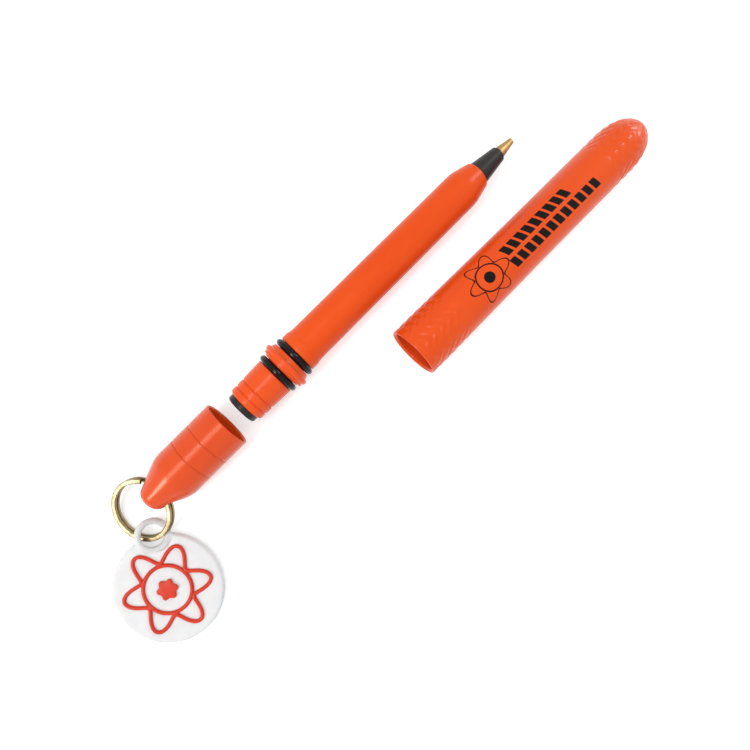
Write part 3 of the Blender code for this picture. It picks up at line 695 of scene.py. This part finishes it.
def moulded_finish(name, tone, roughness, rub=0.0, relief=MOULD_STRENGTH, **constants):
    """A moulded plastic, rubbed paler at its edges by the amount given."""
    finish = Finish(name, **constants)
    skin = finish.group("moulded_skin", Mottle=MOTTLE, Grain=GRAIN, **skin_tones(tone, roughness))
    finish.lay_skin(skin, MOULD_DEPTH, relief)
    if rub:
        finish.paint(finish.group("edge_rub", Color=finish.tone, Rub=colours().rub, Amount=rub)["Color"])
    return finish


def soft_finish(name, tone, roughness, pebble, **constants):
    """Rubber, soft vinyl or a paste."""
    finish = Finish(name, **constants)
    finish.lay_skin(finish.group("soft_skin", Pebble=pebble, **skin_tones(tone, roughness)), *SOFT_RELIEF)
    return finish


def turned_metal_finish(name, tone, roughness):
    """Metal with turning marks round the pen's axis."""
    finish = Finish(name, Metallic=1.0)
    along = finish.scaled(finish.place(), TURNING_STRETCH)
    skin = finish.group("worked_metal", Place=along, Lines=TURNING_LINES, **skin_tones(tone, roughness))
    finish.lay_skin(skin, *TURNING_RELIEF)
    return finish


def turned_places(sheet, centre, mouth):
    """Place on a turned piece in millimetres: along from its mouth, aside and up from its axis."""
    parts = sheet.parts(sheet.scaled(sheet.place(), (1 / MM, 1 / MM, 1 / MM)))
    return [sheet.minus(part, zero / MM) for part, zero in zip(parts, (mouth, centre.y, centre.z))]


def print_mask(sheet, along, across, radius):
    """Mask of the cap's print, laid out on its upper side as on a sheet rolled round it."""
    def line(distance, width):
        return sheet.fade(distance, width / 2 - PRINT_SOFT, width / 2 + PRINT_SOFT, 1.0, 0.0)

    onwards = sheet.minus(along, PRINT_CENTRE)
    aside = sheet.minus(across, PRINT_OFFSET)
    reach = sheet.reach(onwards, aside)
    wave = sheet.math("COSINE", sheet.times(sheet.math("ARCTAN2", aside, onwards), PRINT_PETALS))
    petal = sheet.math("MULTIPLY_ADD", wave, (PRINT_TIP - PRINT_HEART) / 2, (PRINT_TIP + PRINT_HEART) / 2)
    petals = line(sheet.apart(reach, petal), PRINT_LINE)
    ring = line(sheet.apart(reach, PRINT_RING), PRINT_LINE)
    mask = sheet.larger(sheet.larger(petals, ring), line(reach, 2 * PRINT_BOSS))
    slanted = sheet.math("MULTIPLY_ADD", across, DASH_SLANT, along)
    for start, offset, count in DASH_ROWS:
        span = count * DASH_PITCH
        begun = sheet.minus(slanted, start)
        share = sheet.math("FRACT", sheet.math("DIVIDE", begun, DASH_PITCH))
        dashes = line(sheet.times(sheet.apart(share, 0.5), DASH_PITCH), DASH_LENGTH)
        in_row = line(sheet.apart(begun, span / 2), span)
        in_height = line(sheet.apart(across, offset), DASH_HEIGHT)
        mask = sheet.larger(mask, sheet.times(dashes, sheet.times(in_row, in_height)))
    return sheet.times(mask, sheet.math("GREATER_THAN", radius, PRINT_LEAST_RADIUS))


def tag_place():
    """Frame of the tag: its ear at the middle, X to the disc and Z up out of its face."""
    ear = joint_place("tag_swing")
    points = np.array([point.co for point in frame["nodes"]["tag_relief"].data.vertices], float)
    middle = points.mean(axis=0)
    normal = Vector(np.linalg.svd(points - middle, full_matrices=False)[2][2])
    if normal.z < 0:
        normal = -normal
    along = Vector(middle) - ear
    along -= normal * along.dot(normal)
    along.normalize()
    turn = Matrix((along, normal.cross(along), normal)).transposed()
    return Matrix.LocRotScale(ear, turn, None)


class PocketPenOperator:
    """What all the operators here share."""

    bl_options = {"REGISTER", "UNDO"}


class POCKETPEN_OT_barrel(PocketPenOperator, bpy.types.Operator):
    """Turn the orange barrel with its ribbed stub, flange and tapered front"""

    bl_idname = "pocket_pen.barrel"
    bl_label = "Barrel"

    def execute(self, context):
        piece = turned_piece("barrel", "barrel_moulding", sizes().edge)
        finish_piece(piece, self.finish(), "barrel", "barrel")
        return {"FINISHED"}

    def finish(self):
        """Satin orange, glossier from the front seal back over the stub."""
        finish = moulded_finish("satin_orange", "barrel", rub=0.35, **SATIN)
        along = turned_places(finish, middle_of("barrel"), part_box("front_o_ring")[1][0])[0]
        finish.drive("Coat Weight", finish.spread(along, -GLOSS_FADE, GLOSS_FADE, STUB_GLOSS, TUBE_GLOSS))
        return finish


class POCKETPEN_OT_seals(PocketPenOperator, bpy.types.Operator):
    """Make the two black seal rings, with their moulding seam, in their grooves"""

    bl_idname = "pocket_pen.seals"
    bl_label = "Seal rings"

    steps_round = 160
    section_steps = 32

    # Share of the section's height over which the seam runs out
    seam_share = 0.25

    def execute(self, context):
        section = sizes().seal_section / 2
        finish = soft_finish("seal_rubber", "seal", (0.08, 0.18), SEAL_PEBBLE, Specular_IOR_Level=0.2)
        for node, name in (("front_o_ring", "front_seal"), ("rear_o_ring", "rear_seal")):
            piece = start_from(
                bpy.ops.mesh.primitive_torus_add, name, location=middle_of(node), rotation=(0, pi / 2, 0),
                major_segments=self.steps_round, minor_segments=self.section_steps,
                major_radius=radius_of(node) - section, minor_radius=section)
            self.raise_seam(piece, section)
            place_in_mesh(piece)
            finish_piece(piece, finish, "barrel", node)
        return {"FINISHED"}

    def raise_seam(self, piece, section):
        """Flatten the section a little everywhere but at the seam on its outer and inner circles."""
        seam = sizes().seal_seam
        for point in piece.data.vertices:
            height = abs(point.co.z) / section
            point.co.z -= point.co.z * seam / section * min(1.0, height / self.seam_share)


class POCKETPEN_OT_end_plug(PocketPenOperator, bpy.types.Operator):
    """Turn the dark plug in the end of the tail stub"""

    bl_idname = "pocket_pen.end_plug"
    bl_label = "End plug"

    def execute(self, context):
        piece = turned_piece("end_plug", "plug_moulding", sizes().fine_edge)
        finish = moulded_finish("dark_plug", "plug", (0.3, 0.55), Specular_IOR_Level=0.3)
        finish_piece(piece, finish, "barrel", "end_plug")
        return {"FINISHED"}


class POCKETPEN_OT_nose_cone(PocketPenOperator, bpy.types.Operator):
    """Turn the near-black front cone of the refill"""

    bl_idname = "pocket_pen.nose_cone"
    bl_label = "Nose cone"

    def execute(self, context):
        piece = turned_piece("nose_cone", "nose_moulding", sizes().fine_edge)
        finish = moulded_finish("black_nose", "nose", (0.36, 0.6), Specular_IOR_Level=0.22)
        finish_piece(piece, finish, "refill", "nose_cone")
        return {"FINISHED"}


class POCKETPEN_OT_point(PocketPenOperator, bpy.types.Operator):
    """Turn the brass writing point and its ball"""

    bl_idname = "pocket_pen.point"
    bl_label = "Point and ball"

    ball_levels = 4

    def execute(self, context):
        point = turned_piece("point", "brass_point", sizes().fine_edge / 2)
        brass = turned_metal_finish("turned_brass", "point", (0.36, 0.55))
        finish_piece(point, brass, "refill", "point")
        ball = start_from(bpy.ops.mesh.primitive_ico_sphere_add, "steel_ball", subdivisions=self.ball_levels,
                          radius=radius_of("writing_ball"), location=middle_of("writing_ball"))
        place_in_mesh(ball)
        steel = turned_metal_finish("ball_steel", "ball", (0.1, 0.2))
        finish_piece(ball, steel, "refill", "writing_ball")
        return {"FINISHED"}


class POCKETPEN_OT_refill(PocketPenOperator, bpy.types.Operator):
    """Turn the reservoir tube, the ink and the follower behind it"""

    bl_idname = "pocket_pen.refill"
    bl_label = "Reservoir and ink"

    def execute(self, context):
        tube = moulded_finish("milky_tube", "tube", (0.25, 0.45))
        ink = soft_finish("ink_paste", "ink", (0.12, 0.3), PASTE_PEBBLE)
        grease = soft_finish("follower_grease", "grease", (0.15, 0.35), PASTE_PEBBLE)
        for node, name, finish, slot in (("ink_tube", "reservoir", tube, "tube_plastic"),
                                         ("ink_column", "ink_fill", ink, "ink"),
                                         ("ink_follower", "follower", grease, "grease")):
            piece = turned_piece(node, name, sizes().fine_edge)
            finish_piece(piece, finish, "refill", node)
        return {"FINISHED"}


class POCKETPEN_OT_cap(PocketPenOperator, bpy.types.Operator):
    """Turn the domed cap and mould its chevron grip"""

    bl_idname = "pocket_pen.cap"
    bl_label = "Cap"

    # Share of the cap's radius past which its outline is on the outside
    outside_share = 0.9

    # Where the dome begins, back from the tip, as a share of the grip there
    dome_share = 0.55

    # Distances over which the grip sets in: from the mouth, from the tip and from its inner ends
    mouth_fade = (0.9 * MM, 1.6 * MM)
    tip_fade = (1.2 * MM, 3.2 * MM)
    inner_fade = (0.0, 2.2 * MM)

    def execute(self, context):
        size = sizes()
        low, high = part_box("cap")
        piece, centre = outline_of("cap", "cap_moulding")
        outside = radius_of("cap") * self.outside_share

        def longest_at(place):
            at_dome = place.x > high[0] - size.grip_at_dome
            at_mouth = place.x < low[0] + size.grip_at_mouth and place.z - centre.z > outside
            return size.grip_step if at_dome or at_mouth else 2 * size.longest

        even_steps(piece, longest_at)
        spin_round(centre, size.cap_sides)
        soften(piece, size.edge, 2)
        self.mould_grip(piece, centre, low[0], high[0])
        finish_piece(piece, self.finish(centre, low[0]), "cap", "cap")
        return {"FINISHED"}

    def mould_grip(self, piece, centre, mouth, tip):
        """Sink the valleys between chevron ribs whose points lead to the dome."""
        size = sizes()
        dome = tip - size.grip_at_dome * self.dome_share
        widest = radius_of("cap")
        column = tau / size.grip_columns
        moves = []
        for point in piece.data.vertices:
            out = Vector((max(0.0, point.co.x - dome), point.co.y - centre.y, point.co.z - centre.z))
            if point.normal.dot(out) <= 0:
                continue
            from_mouth = point.co.x - mouth
            from_tip = tip - point.co.x
            at_mouth = ease(from_mouth, *self.mouth_fade)
            at_mouth *= ease(size.grip_at_mouth - from_mouth, *self.inner_fade)
            at_dome = ease(from_tip, *self.tip_fade)
            at_dome *= ease(size.grip_at_dome - from_tip, *self.inner_fade)
            depth = size.grip_depth * max(at_mouth, at_dome)
            if depth <= 0:
                continue
            turned = atan2(out.y, out.z) / column
            slant = abs(turned - round(turned)) * column * widest
            wave = 0.5 - 0.5 * cos(tau * (point.co.x + slant) / size.grip_pitch)
            moves.append((point, point.normal * depth * wave))
        for point, move in moves:
            point.co -= move

    def finish(self, centre, mouth):
        """Satin orange, with painted shade in the bore and a black print of a rosette and two rows of dashes along
        the upper side.
        """
        finish = moulded_finish("satin_cap_orange", "cap", rub=0.3, **SATIN)
        along, side, up = turned_places(finish, centre, mouth)
        radius = finish.reach(side, up)
        across = finish.times(finish.math("ARCTAN2", side, up), radius)
        bore = finish.spread(along, MOUTH_ZONE, MOUTH_ZONE + MOUTH_FADE, MOUTH_INSIDE_RADIUS, INSIDE_RADIUS)
        inside = finish.times(finish.math("LESS_THAN", radius, bore),
                              finish.math("LESS_THAN", along, INSIDE_DEPTH))
        # Painted shade: darker orange laid on the bore inside the cap
        finish.paint(finish.mix(inside, finish.tone, colours().cap_bore_painted_shade))
        printed = print_mask(finish, along, across, radius)
        finish.paint(finish.mix(printed, finish.tone, colours().print_black))
        finish.drive("Coat Weight", finish.spread(printed, 0.0, 1.0, CAP_GLOSS, 0.0))
        return finish


class POCKETPEN_OT_tail_cap(PocketPenOperator, bpy.types.Operator):
    """Turn the glossy key-ring end and bore its flared cross hole"""

    bl_idname = "pocket_pen.tail_cap"
    bl_label = "Key-ring end"

    # Half the length of wall that is measured at the hole, and the length of the drill's flares
    wall_band = 0.5 * MM
    beyond = 3 * MM

    def execute(self, context):
        piece = turned_piece("tail_cap", "key_ring_end", sizes().trim_edge)
        combine(piece, "DIFFERENCE", self.drill(piece))
        edit(piece)
        merge()
        close_edit()
        finish_piece(piece, self.finish(), "tail_cap", "tail_cap")
        return {"FINISHED"}

    def finish(self):
        """Glossy orange, with painted light that makes the bore paler."""
        finish = moulded_finish("glossy_orange", "tail_cap", (0.2, 0.28), rub=0.2, relief=0.04,
                                Specular_IOR_Level=0.45, Specular_Tint=(1.0, 0.86, 0.6))
        along, side, up = turned_places(finish, middle_of("tail_cap"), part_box("tail_cap")[1][0])
        inside = finish.times(finish.math("LESS_THAN", finish.reach(side, up), TAIL_INSIDE_RADIUS),
                              finish.math("GREATER_THAN", along, -TAIL_INSIDE_DEPTH))
        # Painted light: paler orange laid on the bore inside the key-ring end
        finish.paint(finish.mix(inside, finish.tone, colours().tail_cap_bore_painted_light))
        return finish

    def drill(self, piece):
        """A cylinder across the nose, flared past the walls at both ends."""
        size = sizes()
        hole = joint_place("key_ring_swing")
        wall = max(abs(point.co.y) for point in piece.data.vertices
                   if abs(point.co.x - hole.x) < self.wall_band)
        straight = wall - size.hole_flare
        grow = 1 + self.beyond / size.hole_radius
        drill = start_from(
            bpy.ops.mesh.primitive_cylinder_add, "drill", vertices=size.hole_sides, radius=size.hole_radius,
            depth=2 * straight, location=hole, rotation=(pi / 2, 0, 0))
        place_in_mesh(drill)
        for side in (-1, 1):
            end = Vector((hole.x, side * straight, hole.z))
            edit(drill)
            select_points(drill, lambda place: abs(place.y - end.y) < NEAR)
            bpy.ops.mesh.extrude_region_move(TRANSFORM_OT_translate={"value": (0, side * self.beyond, 0)})
            bpy.ops.transform.resize(value=(grow, 1, grow), center_override=end)
            close_edit()
        return drill


class POCKETPEN_OT_key_ring(PocketPenOperator, bpy.types.Operator):
    """Wind the two turns of the split ring from one length of flattened wire"""

    bl_idname = "pocket_pen.key_ring"
    bl_label = "Split ring"

    # Angle over which the wire crosses from one turn to the other, and where round the ring that is
    crossover = radians(34)
    split = radians(125)
    climb_steps = 14
    round_steps = 5

    # Bevel of the wire's cut ends, and the least angle that marks their edges
    end_edge = 0.05 * MM
    end_corner = radians(60)

    def execute(self, context):
        size = sizes()
        hinge = joint_place("key_ring_swing")
        centre = mount_place("key_ring_loop") - hinge
        reach = hypot(centre.x, centre.z)
        tilt = atan2(-centre.z, -centre.x)
        layer = (size.wire_thickness + size.coil_gap) / 2
        turn = tau - self.crossover

        piece = start_from(bpy.ops.mesh.primitive_plane_add, "split_ring", size=1)
        self.shape_section(piece, reach, layer)
        self.wind(turn, size.turn_steps, reach)
        self.climb(reach, 2 * layer)
        self.wind(turn, size.turn_steps, reach)
        merge()
        bpy.ops.mesh.fill_holes(sides=0)
        face_outwards()
        apply_modifier(piece, "BEVEL", width=self.end_edge, segments=2, limit_method="ANGLE",
                       angle_limit=self.end_corner)
        place_in_mesh(piece, Matrix.Translation(hinge) @ Matrix.Rotation(pi - tilt, 4, "Y"))
        finish_piece(piece, self.finish(hinge, tilt, reach), "key_ring", "key_ring")
        return {"FINISHED"}

    def shape_section(self, piece, reach, layer):
        """Round the plane's corners into the wire's section, upright at the start of the first turn."""
        size = sizes()
        edit(piece)
        bpy.ops.transform.resize(value=(size.wire_width, size.wire_thickness, 1))
        bpy.ops.mesh.bevel(offset=size.wire_round, segments=self.round_steps, affect="VERTICES")
        bpy.ops.mesh.delete(type="ONLY_FACE")
        close_edit()
        start = self.split + self.crossover / 2
        outwards = Vector((cos(start), sin(start), 0))
        upright = Matrix((outwards, (0, 0, 1), outwards.cross(Vector((0, 0, 1))))).transposed()
        at = Vector((reach, 0, -layer)) + outwards * size.ring_radius
        place_in_mesh(piece, Matrix.LocRotScale(at, upright, None))
        edit(piece)

    def wind(self, angle, steps, reach):
        """Carry the section round the ring's middle."""
        bpy.ops.mesh.spin(steps=steps, angle=angle, center=(reach, 0, 0), axis=(0, 0, 1))

    def climb(self, reach, height):
        """Cross from the lower turn to the upper one in an even slope."""
        heights = [height * ease(step, 0, self.climb_steps) for step in range(self.climb_steps + 1)]
        for below, above in zip(heights, heights[1:]):
            self.wind(self.crossover / self.climb_steps, 1, reach)
            bpy.ops.transform.translate(value=(0, 0, above - below))

    def finish(self, hinge, tilt, reach):
        """Plated brass wire with drawing lines along it."""
        finish = Finish("plated_wire", Metallic=1.0)
        lie = {"Vector": finish.place(), "Location": hinge, "Rotation": (0.0, pi - tilt, 0.0)}
        flat = finish.add("ShaderNodeMapping", lie, vector_type="TEXTURE")
        along, across, up = finish.parts(flat.outputs[0])
        radius = finish.reach(finish.minus(along, reach), across)
        lines = finish.add("ShaderNodeCombineXYZ", {0: radius, 1: up})
        skin = finish.group("worked_metal", Place=lines.outputs[0], Lines=DRAWING_LINES,
                            **skin_tones("ring", (0.26, 0.42)))
        finish.lay_skin(skin, *DRAWING_RELIEF)
        return finish


class POCKETPEN_OT_tag(PocketPenOperator, bpy.types.Operator):
    """Mould the soft white tag and its twisted ear in one"""

    bl_idname = "pocket_pen.tag"
    bl_label = "Tag"

    ear_twist = radians(-27)
    disc_sides = 192
    edge_steps = 6
    ear_sides = 96
    ear_section_sides = 28
    smooth_passes = 5

    def execute(self, context):
        size = sizes()
        piece = start_from(bpy.ops.mesh.primitive_cylinder_add, "vinyl_tag", vertices=self.disc_sides,
                           radius=size.tag_radius, depth=size.tag_thickness, location=(size.tag_reach, 0, 0))
        place_in_mesh(piece)
        edit(piece)
        select_edges(piece, lambda line: abs(line.verts[0].co.z - line.verts[1].co.z) < NEAR)
        bpy.ops.mesh.bevel(offset=size.tag_edge, segments=self.edge_steps)
        close_edit()
        self.fuse_ear(piece)
        fuse(piece, size.tag_grain, self.smooth_passes)
        place_in_mesh(piece, tag_place())
        finish = soft_finish("white_vinyl", "vinyl", (0.42, 0.6), TAG_PEBBLE, Specular_IOR_Level=0.3,
                             Subsurface_Weight=0.08, Subsurface_Scale=1 * MM)
        finish_piece(piece, finish, "tag", "tag")
        return {"FINISHED"}

    def fuse_ear(self, piece):
        """Cut the ear's hole out of the disc and set the ear's loop in it."""
        size = sizes()
        twist = (self.ear_twist, 0, 0)
        hole = start_from(
            bpy.ops.mesh.primitive_cylinder_add, "ear_hole", vertices=self.ear_sides, rotation=twist,
            radius=size.ear_radius + size.ear_margin, depth=2 * size.tag_radius)
        combine(piece, "DIFFERENCE", hole)
        loop = start_from(bpy.ops.mesh.primitive_torus_add, "ear_loop", rotation=twist,
                          major_segments=self.ear_sides, minor_segments=self.ear_section_sides,
                          major_radius=size.ear_radius, minor_radius=size.ear_section)
        combine(piece, "UNION", loop)


class POCKETPEN_OT_tag_relief(PocketPenOperator, bpy.types.Operator):
    """Mould the raised rosette on the tag as a soft bead, and the lobed boss in its middle"""

    bl_idname = "pocket_pen.tag_relief"
    bl_label = "Tag relief"

    petal_steps = 360
    ring_steps = 128
    bead_steps = 6
    boss_steps = 144
    edge_steps = 5
    smooth_passes = 4

    def execute(self, context):
        size = sizes()
        finish = soft_finish("red_vinyl", "relief", (0.34, 0.5), RELIEF_PEBBLE, Specular_IOR_Level=0.35)
        above = size.tag_thickness / 2 + size.relief_gap
        seat = tag_place() @ Matrix.Translation((size.tag_reach, 0, above))
        rosette = self.rosette()
        tall = size.relief_height / (size.relief_width / 2)
        place_in_mesh(rosette, seat @ Matrix.Diagonal((1, 1, tall, 1)))
        finish_piece(rosette, finish, "tag", "tag_relief")
        boss = self.boss()
        place_in_mesh(boss, seat)
        finish_piece(boss, finish, "tag", "tag_boss")
        return {"FINISHED"}

    def path(self, name, radius_at, steps, fill):
        """A closed flat path about the middle of the disc."""
        path = start_from(bpy.ops.mesh.primitive_circle_add, name, vertices=steps, radius=1, fill_type=fill)
        for point in path.data.vertices:
            angle = atan2(point.co.y, point.co.x)
            point.co = Vector((cos(angle), sin(angle), 0)) * radius_at(angle)
        return path

    def bead(self, name, radius_at, steps):
        """A round bead along a closed path."""
        line = self.path(name, radius_at, steps, "NOTHING")
        pick(line)
        bpy.ops.object.convert(target="CURVE")
        line.data.bevel_depth = sizes().relief_width / 2
        line.data.bevel_resolution = self.bead_steps
        bpy.ops.object.convert(target="MESH")
        return bpy.context.object

    def rosette(self):
        """The petalled line fused with its ring, flat underneath, with a hollow towards the ear."""
        size = sizes()
        middle = (size.petal_tip + size.petal_heart) / 2
        swing = (size.petal_tip - size.petal_heart) / 2
        piece = self.bead("vinyl_relief", lambda angle: middle - swing * cos(size.petals * angle),
                          self.petal_steps)
        ring = self.bead("relief_ring", lambda angle: size.heart_ring, self.ring_steps)
        pick(piece)
        ring.select_set(True)
        bpy.ops.object.join()
        fuse(piece, size.relief_grain, self.smooth_passes)
        edit(piece)
        select_points(piece, lambda place: place.z < 0)
        bpy.ops.transform.resize(value=(1, 1, 0), center_override=(0, 0, 0))
        close_edit()
        return piece

    def boss(self):
        """A low boss with rounded lobes under the petals."""
        size = sizes()
        middle = size.boss_radius - size.boss_lobes / 2
        swing = size.boss_lobes / 2
        piece = self.path("vinyl_boss", lambda angle: middle - swing * cos(size.petals * angle),
                          self.boss_steps, "NGON")
        edit(piece)
        bpy.ops.mesh.extrude_region_move(TRANSFORM_OT_translate={"value": (0, 0, size.relief_height)})
        select_edges(piece, lambda line: min(end.co.z for end in line.verts) > size.relief_height - NEAR)
        bpy.ops.mesh.bevel(offset=size.boss_edge, segments=self.edge_steps)
        face_outwards()
        return piece


class POCKETPEN_OT_stage(PocketPenOperator, bpy.types.Operator):
    """Lay the pale floor and set the lights and the camera"""

    bl_idname = "pocket_pen.stage"
    bl_label = "Stage"

    # Width of the floor, how far it lies under the parts, and how much paler its clouds are
    floor_width = 3.0
    floor_drop = 0.03 * MM
    floor_paler = 1.03

    # Lamps, each with its power, its place, and its length along the pen and width, in metres
    lamps = (
        ("strip_light", "strip_power", (-0.19, 0.07, 0.42), (0.44, 0.13)),
        ("end_light", "end_power", (-0.68, 0.1, 0.42), (0.5, 0.16)),
        ("dome_light", "dome_power", (0.9, -0.05, 0.42), (0.6, 0.2)),
    )

    # Width of the camera's sensor in millimetres, and the nearest thing that it sees, in metres
    sensor = 36.0
    nearest = 5 * MM

    def execute(self, context):
        stage = context.scene.pocket_pen_stage
        context.scene.view_settings.view_transform = "Standard"
        self.lay_floor(stage)
        self.light_world(context, stage)
        for name, power_name, place, size in self.lamps:
            self.hang_lamp(name, getattr(stage, power_name), place, size)
        self.set_camera(context, stage)
        return {"FINISHED"}

    def seen(self, sheet):
        """1 where a ray comes from the camera, or by reflection or refraction."""
        path = sheet.add("ShaderNodeLightPath").outputs
        return sheet.larger(sheet.larger(path["Is Camera Ray"], path["Is Glossy Ray"]),
                            path["Is Transmission Ray"])

    def lay_floor(self, stage):
        """A wide pale floor that keeps the shadows and shows white."""
        floor = start_from(bpy.ops.mesh.primitive_plane_add, "studio_floor", size=self.floor_width,
                           location=(0, 0, CAD_BOX[0][2] - self.floor_drop))
        place_in_mesh(floor)
        finish = Finish("pale_floor", Roughness=0.85, Specular_IOR_Level=0.1)
        tint = colours().floor
        paler = [min(1.0, level * self.floor_paler) for level in tint]
        finish.paint(finish.mix(finish.noise(finish.place(), FLOOR_CLOUDS), tint, paler))
        lift = finish.times(self.seen(finish), stage.floor_lift)
        glow = finish.add("ShaderNodeEmission", {"Strength": lift})
        both = finish.add("ShaderNodeAddShader", {0: finish.shader.outputs[0], 1: glow.outputs[0]})
        finish.link(both.outputs[0], finish.tree.nodes["Material Output"].inputs["Surface"])
        floor.data.materials.append(finish.material)
        lie_open()

    def light_world(self, context, stage):
        """Even light from all round, white where it is seen."""
        world = bpy.data.worlds.new("studio_surround")
        context.scene.world = world
        world.use_nodes = True
        sheet = NodeSheet(world.node_tree)
        back = world.node_tree.nodes["Background"]
        sheet.feed(back.inputs["Color"], (1.0, 1.0, 1.0))
        sheet.link(sheet.spread(self.seen(sheet), 0.0, 1.0, stage.surround, 1.0), back.inputs["Strength"])

    def hang_lamp(self, name, watts, place, size):
        """A soft light that faces straight down, with its length along the pen."""
        lamp = bpy.data.lights.new(name, "AREA")
        lamp.shape = "RECTANGLE"
        lamp.size, lamp.size_y = size
        lamp.energy = watts
        light = bpy.data.objects.new(name, lamp)
        bpy.context.collection.objects.link(light)
        light.location = place

    def set_camera(self, context, stage):
        """Look down on the parts, with the pen running from lower left to upper right."""
        lens = bpy.data.cameras.new("studio_camera")
        lens.lens = stage.lens
        lens.sensor_width = self.sensor
        lens.clip_start = self.nearest
        camera = bpy.data.objects.new("studio_camera", lens)
        bpy.context.collection.objects.link(camera)
        view = Matrix.Rotation(-stage.lean, 4, "Y") @ Matrix.Rotation(stage.turn, 4, "Z")
        camera.matrix_world = Matrix.Translation(stage.stand) @ view
        aim = camera.matrix_world.inverted() @ Vector(stage.aim)
        lens.shift_x = -aim.x / aim.z * lens.lens / lens.sensor_width
        lens.shift_y = -aim.y / aim.z * lens.lens / lens.sensor_width
        context.scene.camera = camera


PIECES = (
    POCKETPEN_OT_barrel,
    POCKETPEN_OT_seals,
    POCKETPEN_OT_end_plug,
    POCKETPEN_OT_nose_cone,
    POCKETPEN_OT_point,
    POCKETPEN_OT_refill,
    POCKETPEN_OT_cap,
    POCKETPEN_OT_tail_cap,
    POCKETPEN_OT_key_ring,
    POCKETPEN_OT_tag,
    POCKETPEN_OT_tag_relief,
    POCKETPEN_OT_stage,
)

GROUPS = {
    "pocket_pen_sizes": PocketPenSizes,
    "pocket_pen_colours": PocketPenColours,
    "pocket_pen_stage": PocketPenStage,
}


class POCKETPEN_PT_panel(bpy.types.Panel):
    """Lists the pieces and the stage"""

    bl_idname = "POCKETPEN_PT_panel"
    bl_label = "Pocket pen"
    bl_space_type = "VIEW_3D"
    bl_region_type = "UI"
    bl_category = "Pocket pen"

    def draw(self, context):
        column = self.layout.column()
        for operator in PIECES:
            column.operator(operator.bl_idname)
        for key, group in GROUPS.items():
            box = self.layout.box()
            for name in group.__annotations__:
                box.prop(getattr(context.scene, key), name)


def register():
    """Register the property groups, operators and panel."""
    for name, group in GROUPS.items():
        bpy.utils.register_class(group)
        setattr(bpy.types.Scene, name, PointerProperty(type=group))
    for item in (*PIECES, POCKETPEN_PT_panel):
        bpy.utils.register_class(item)


def unregister():
    """Take everything out again."""
    for item in (POCKETPEN_PT_panel, *reversed(PIECES)):
        bpy.utils.unregister_class(item)
    for name, group in reversed(GROUPS.items()):
        delattr(bpy.types.Scene, name)
        bpy.utils.unregister_class(group)


def main():
    """Make every piece and the stage."""
    register()
    for operator in PIECES:
        package, name = operator.bl_idname.split(".")
        getattr(getattr(bpy.ops, package), name)()


if __name__ == "__main__":
    main()
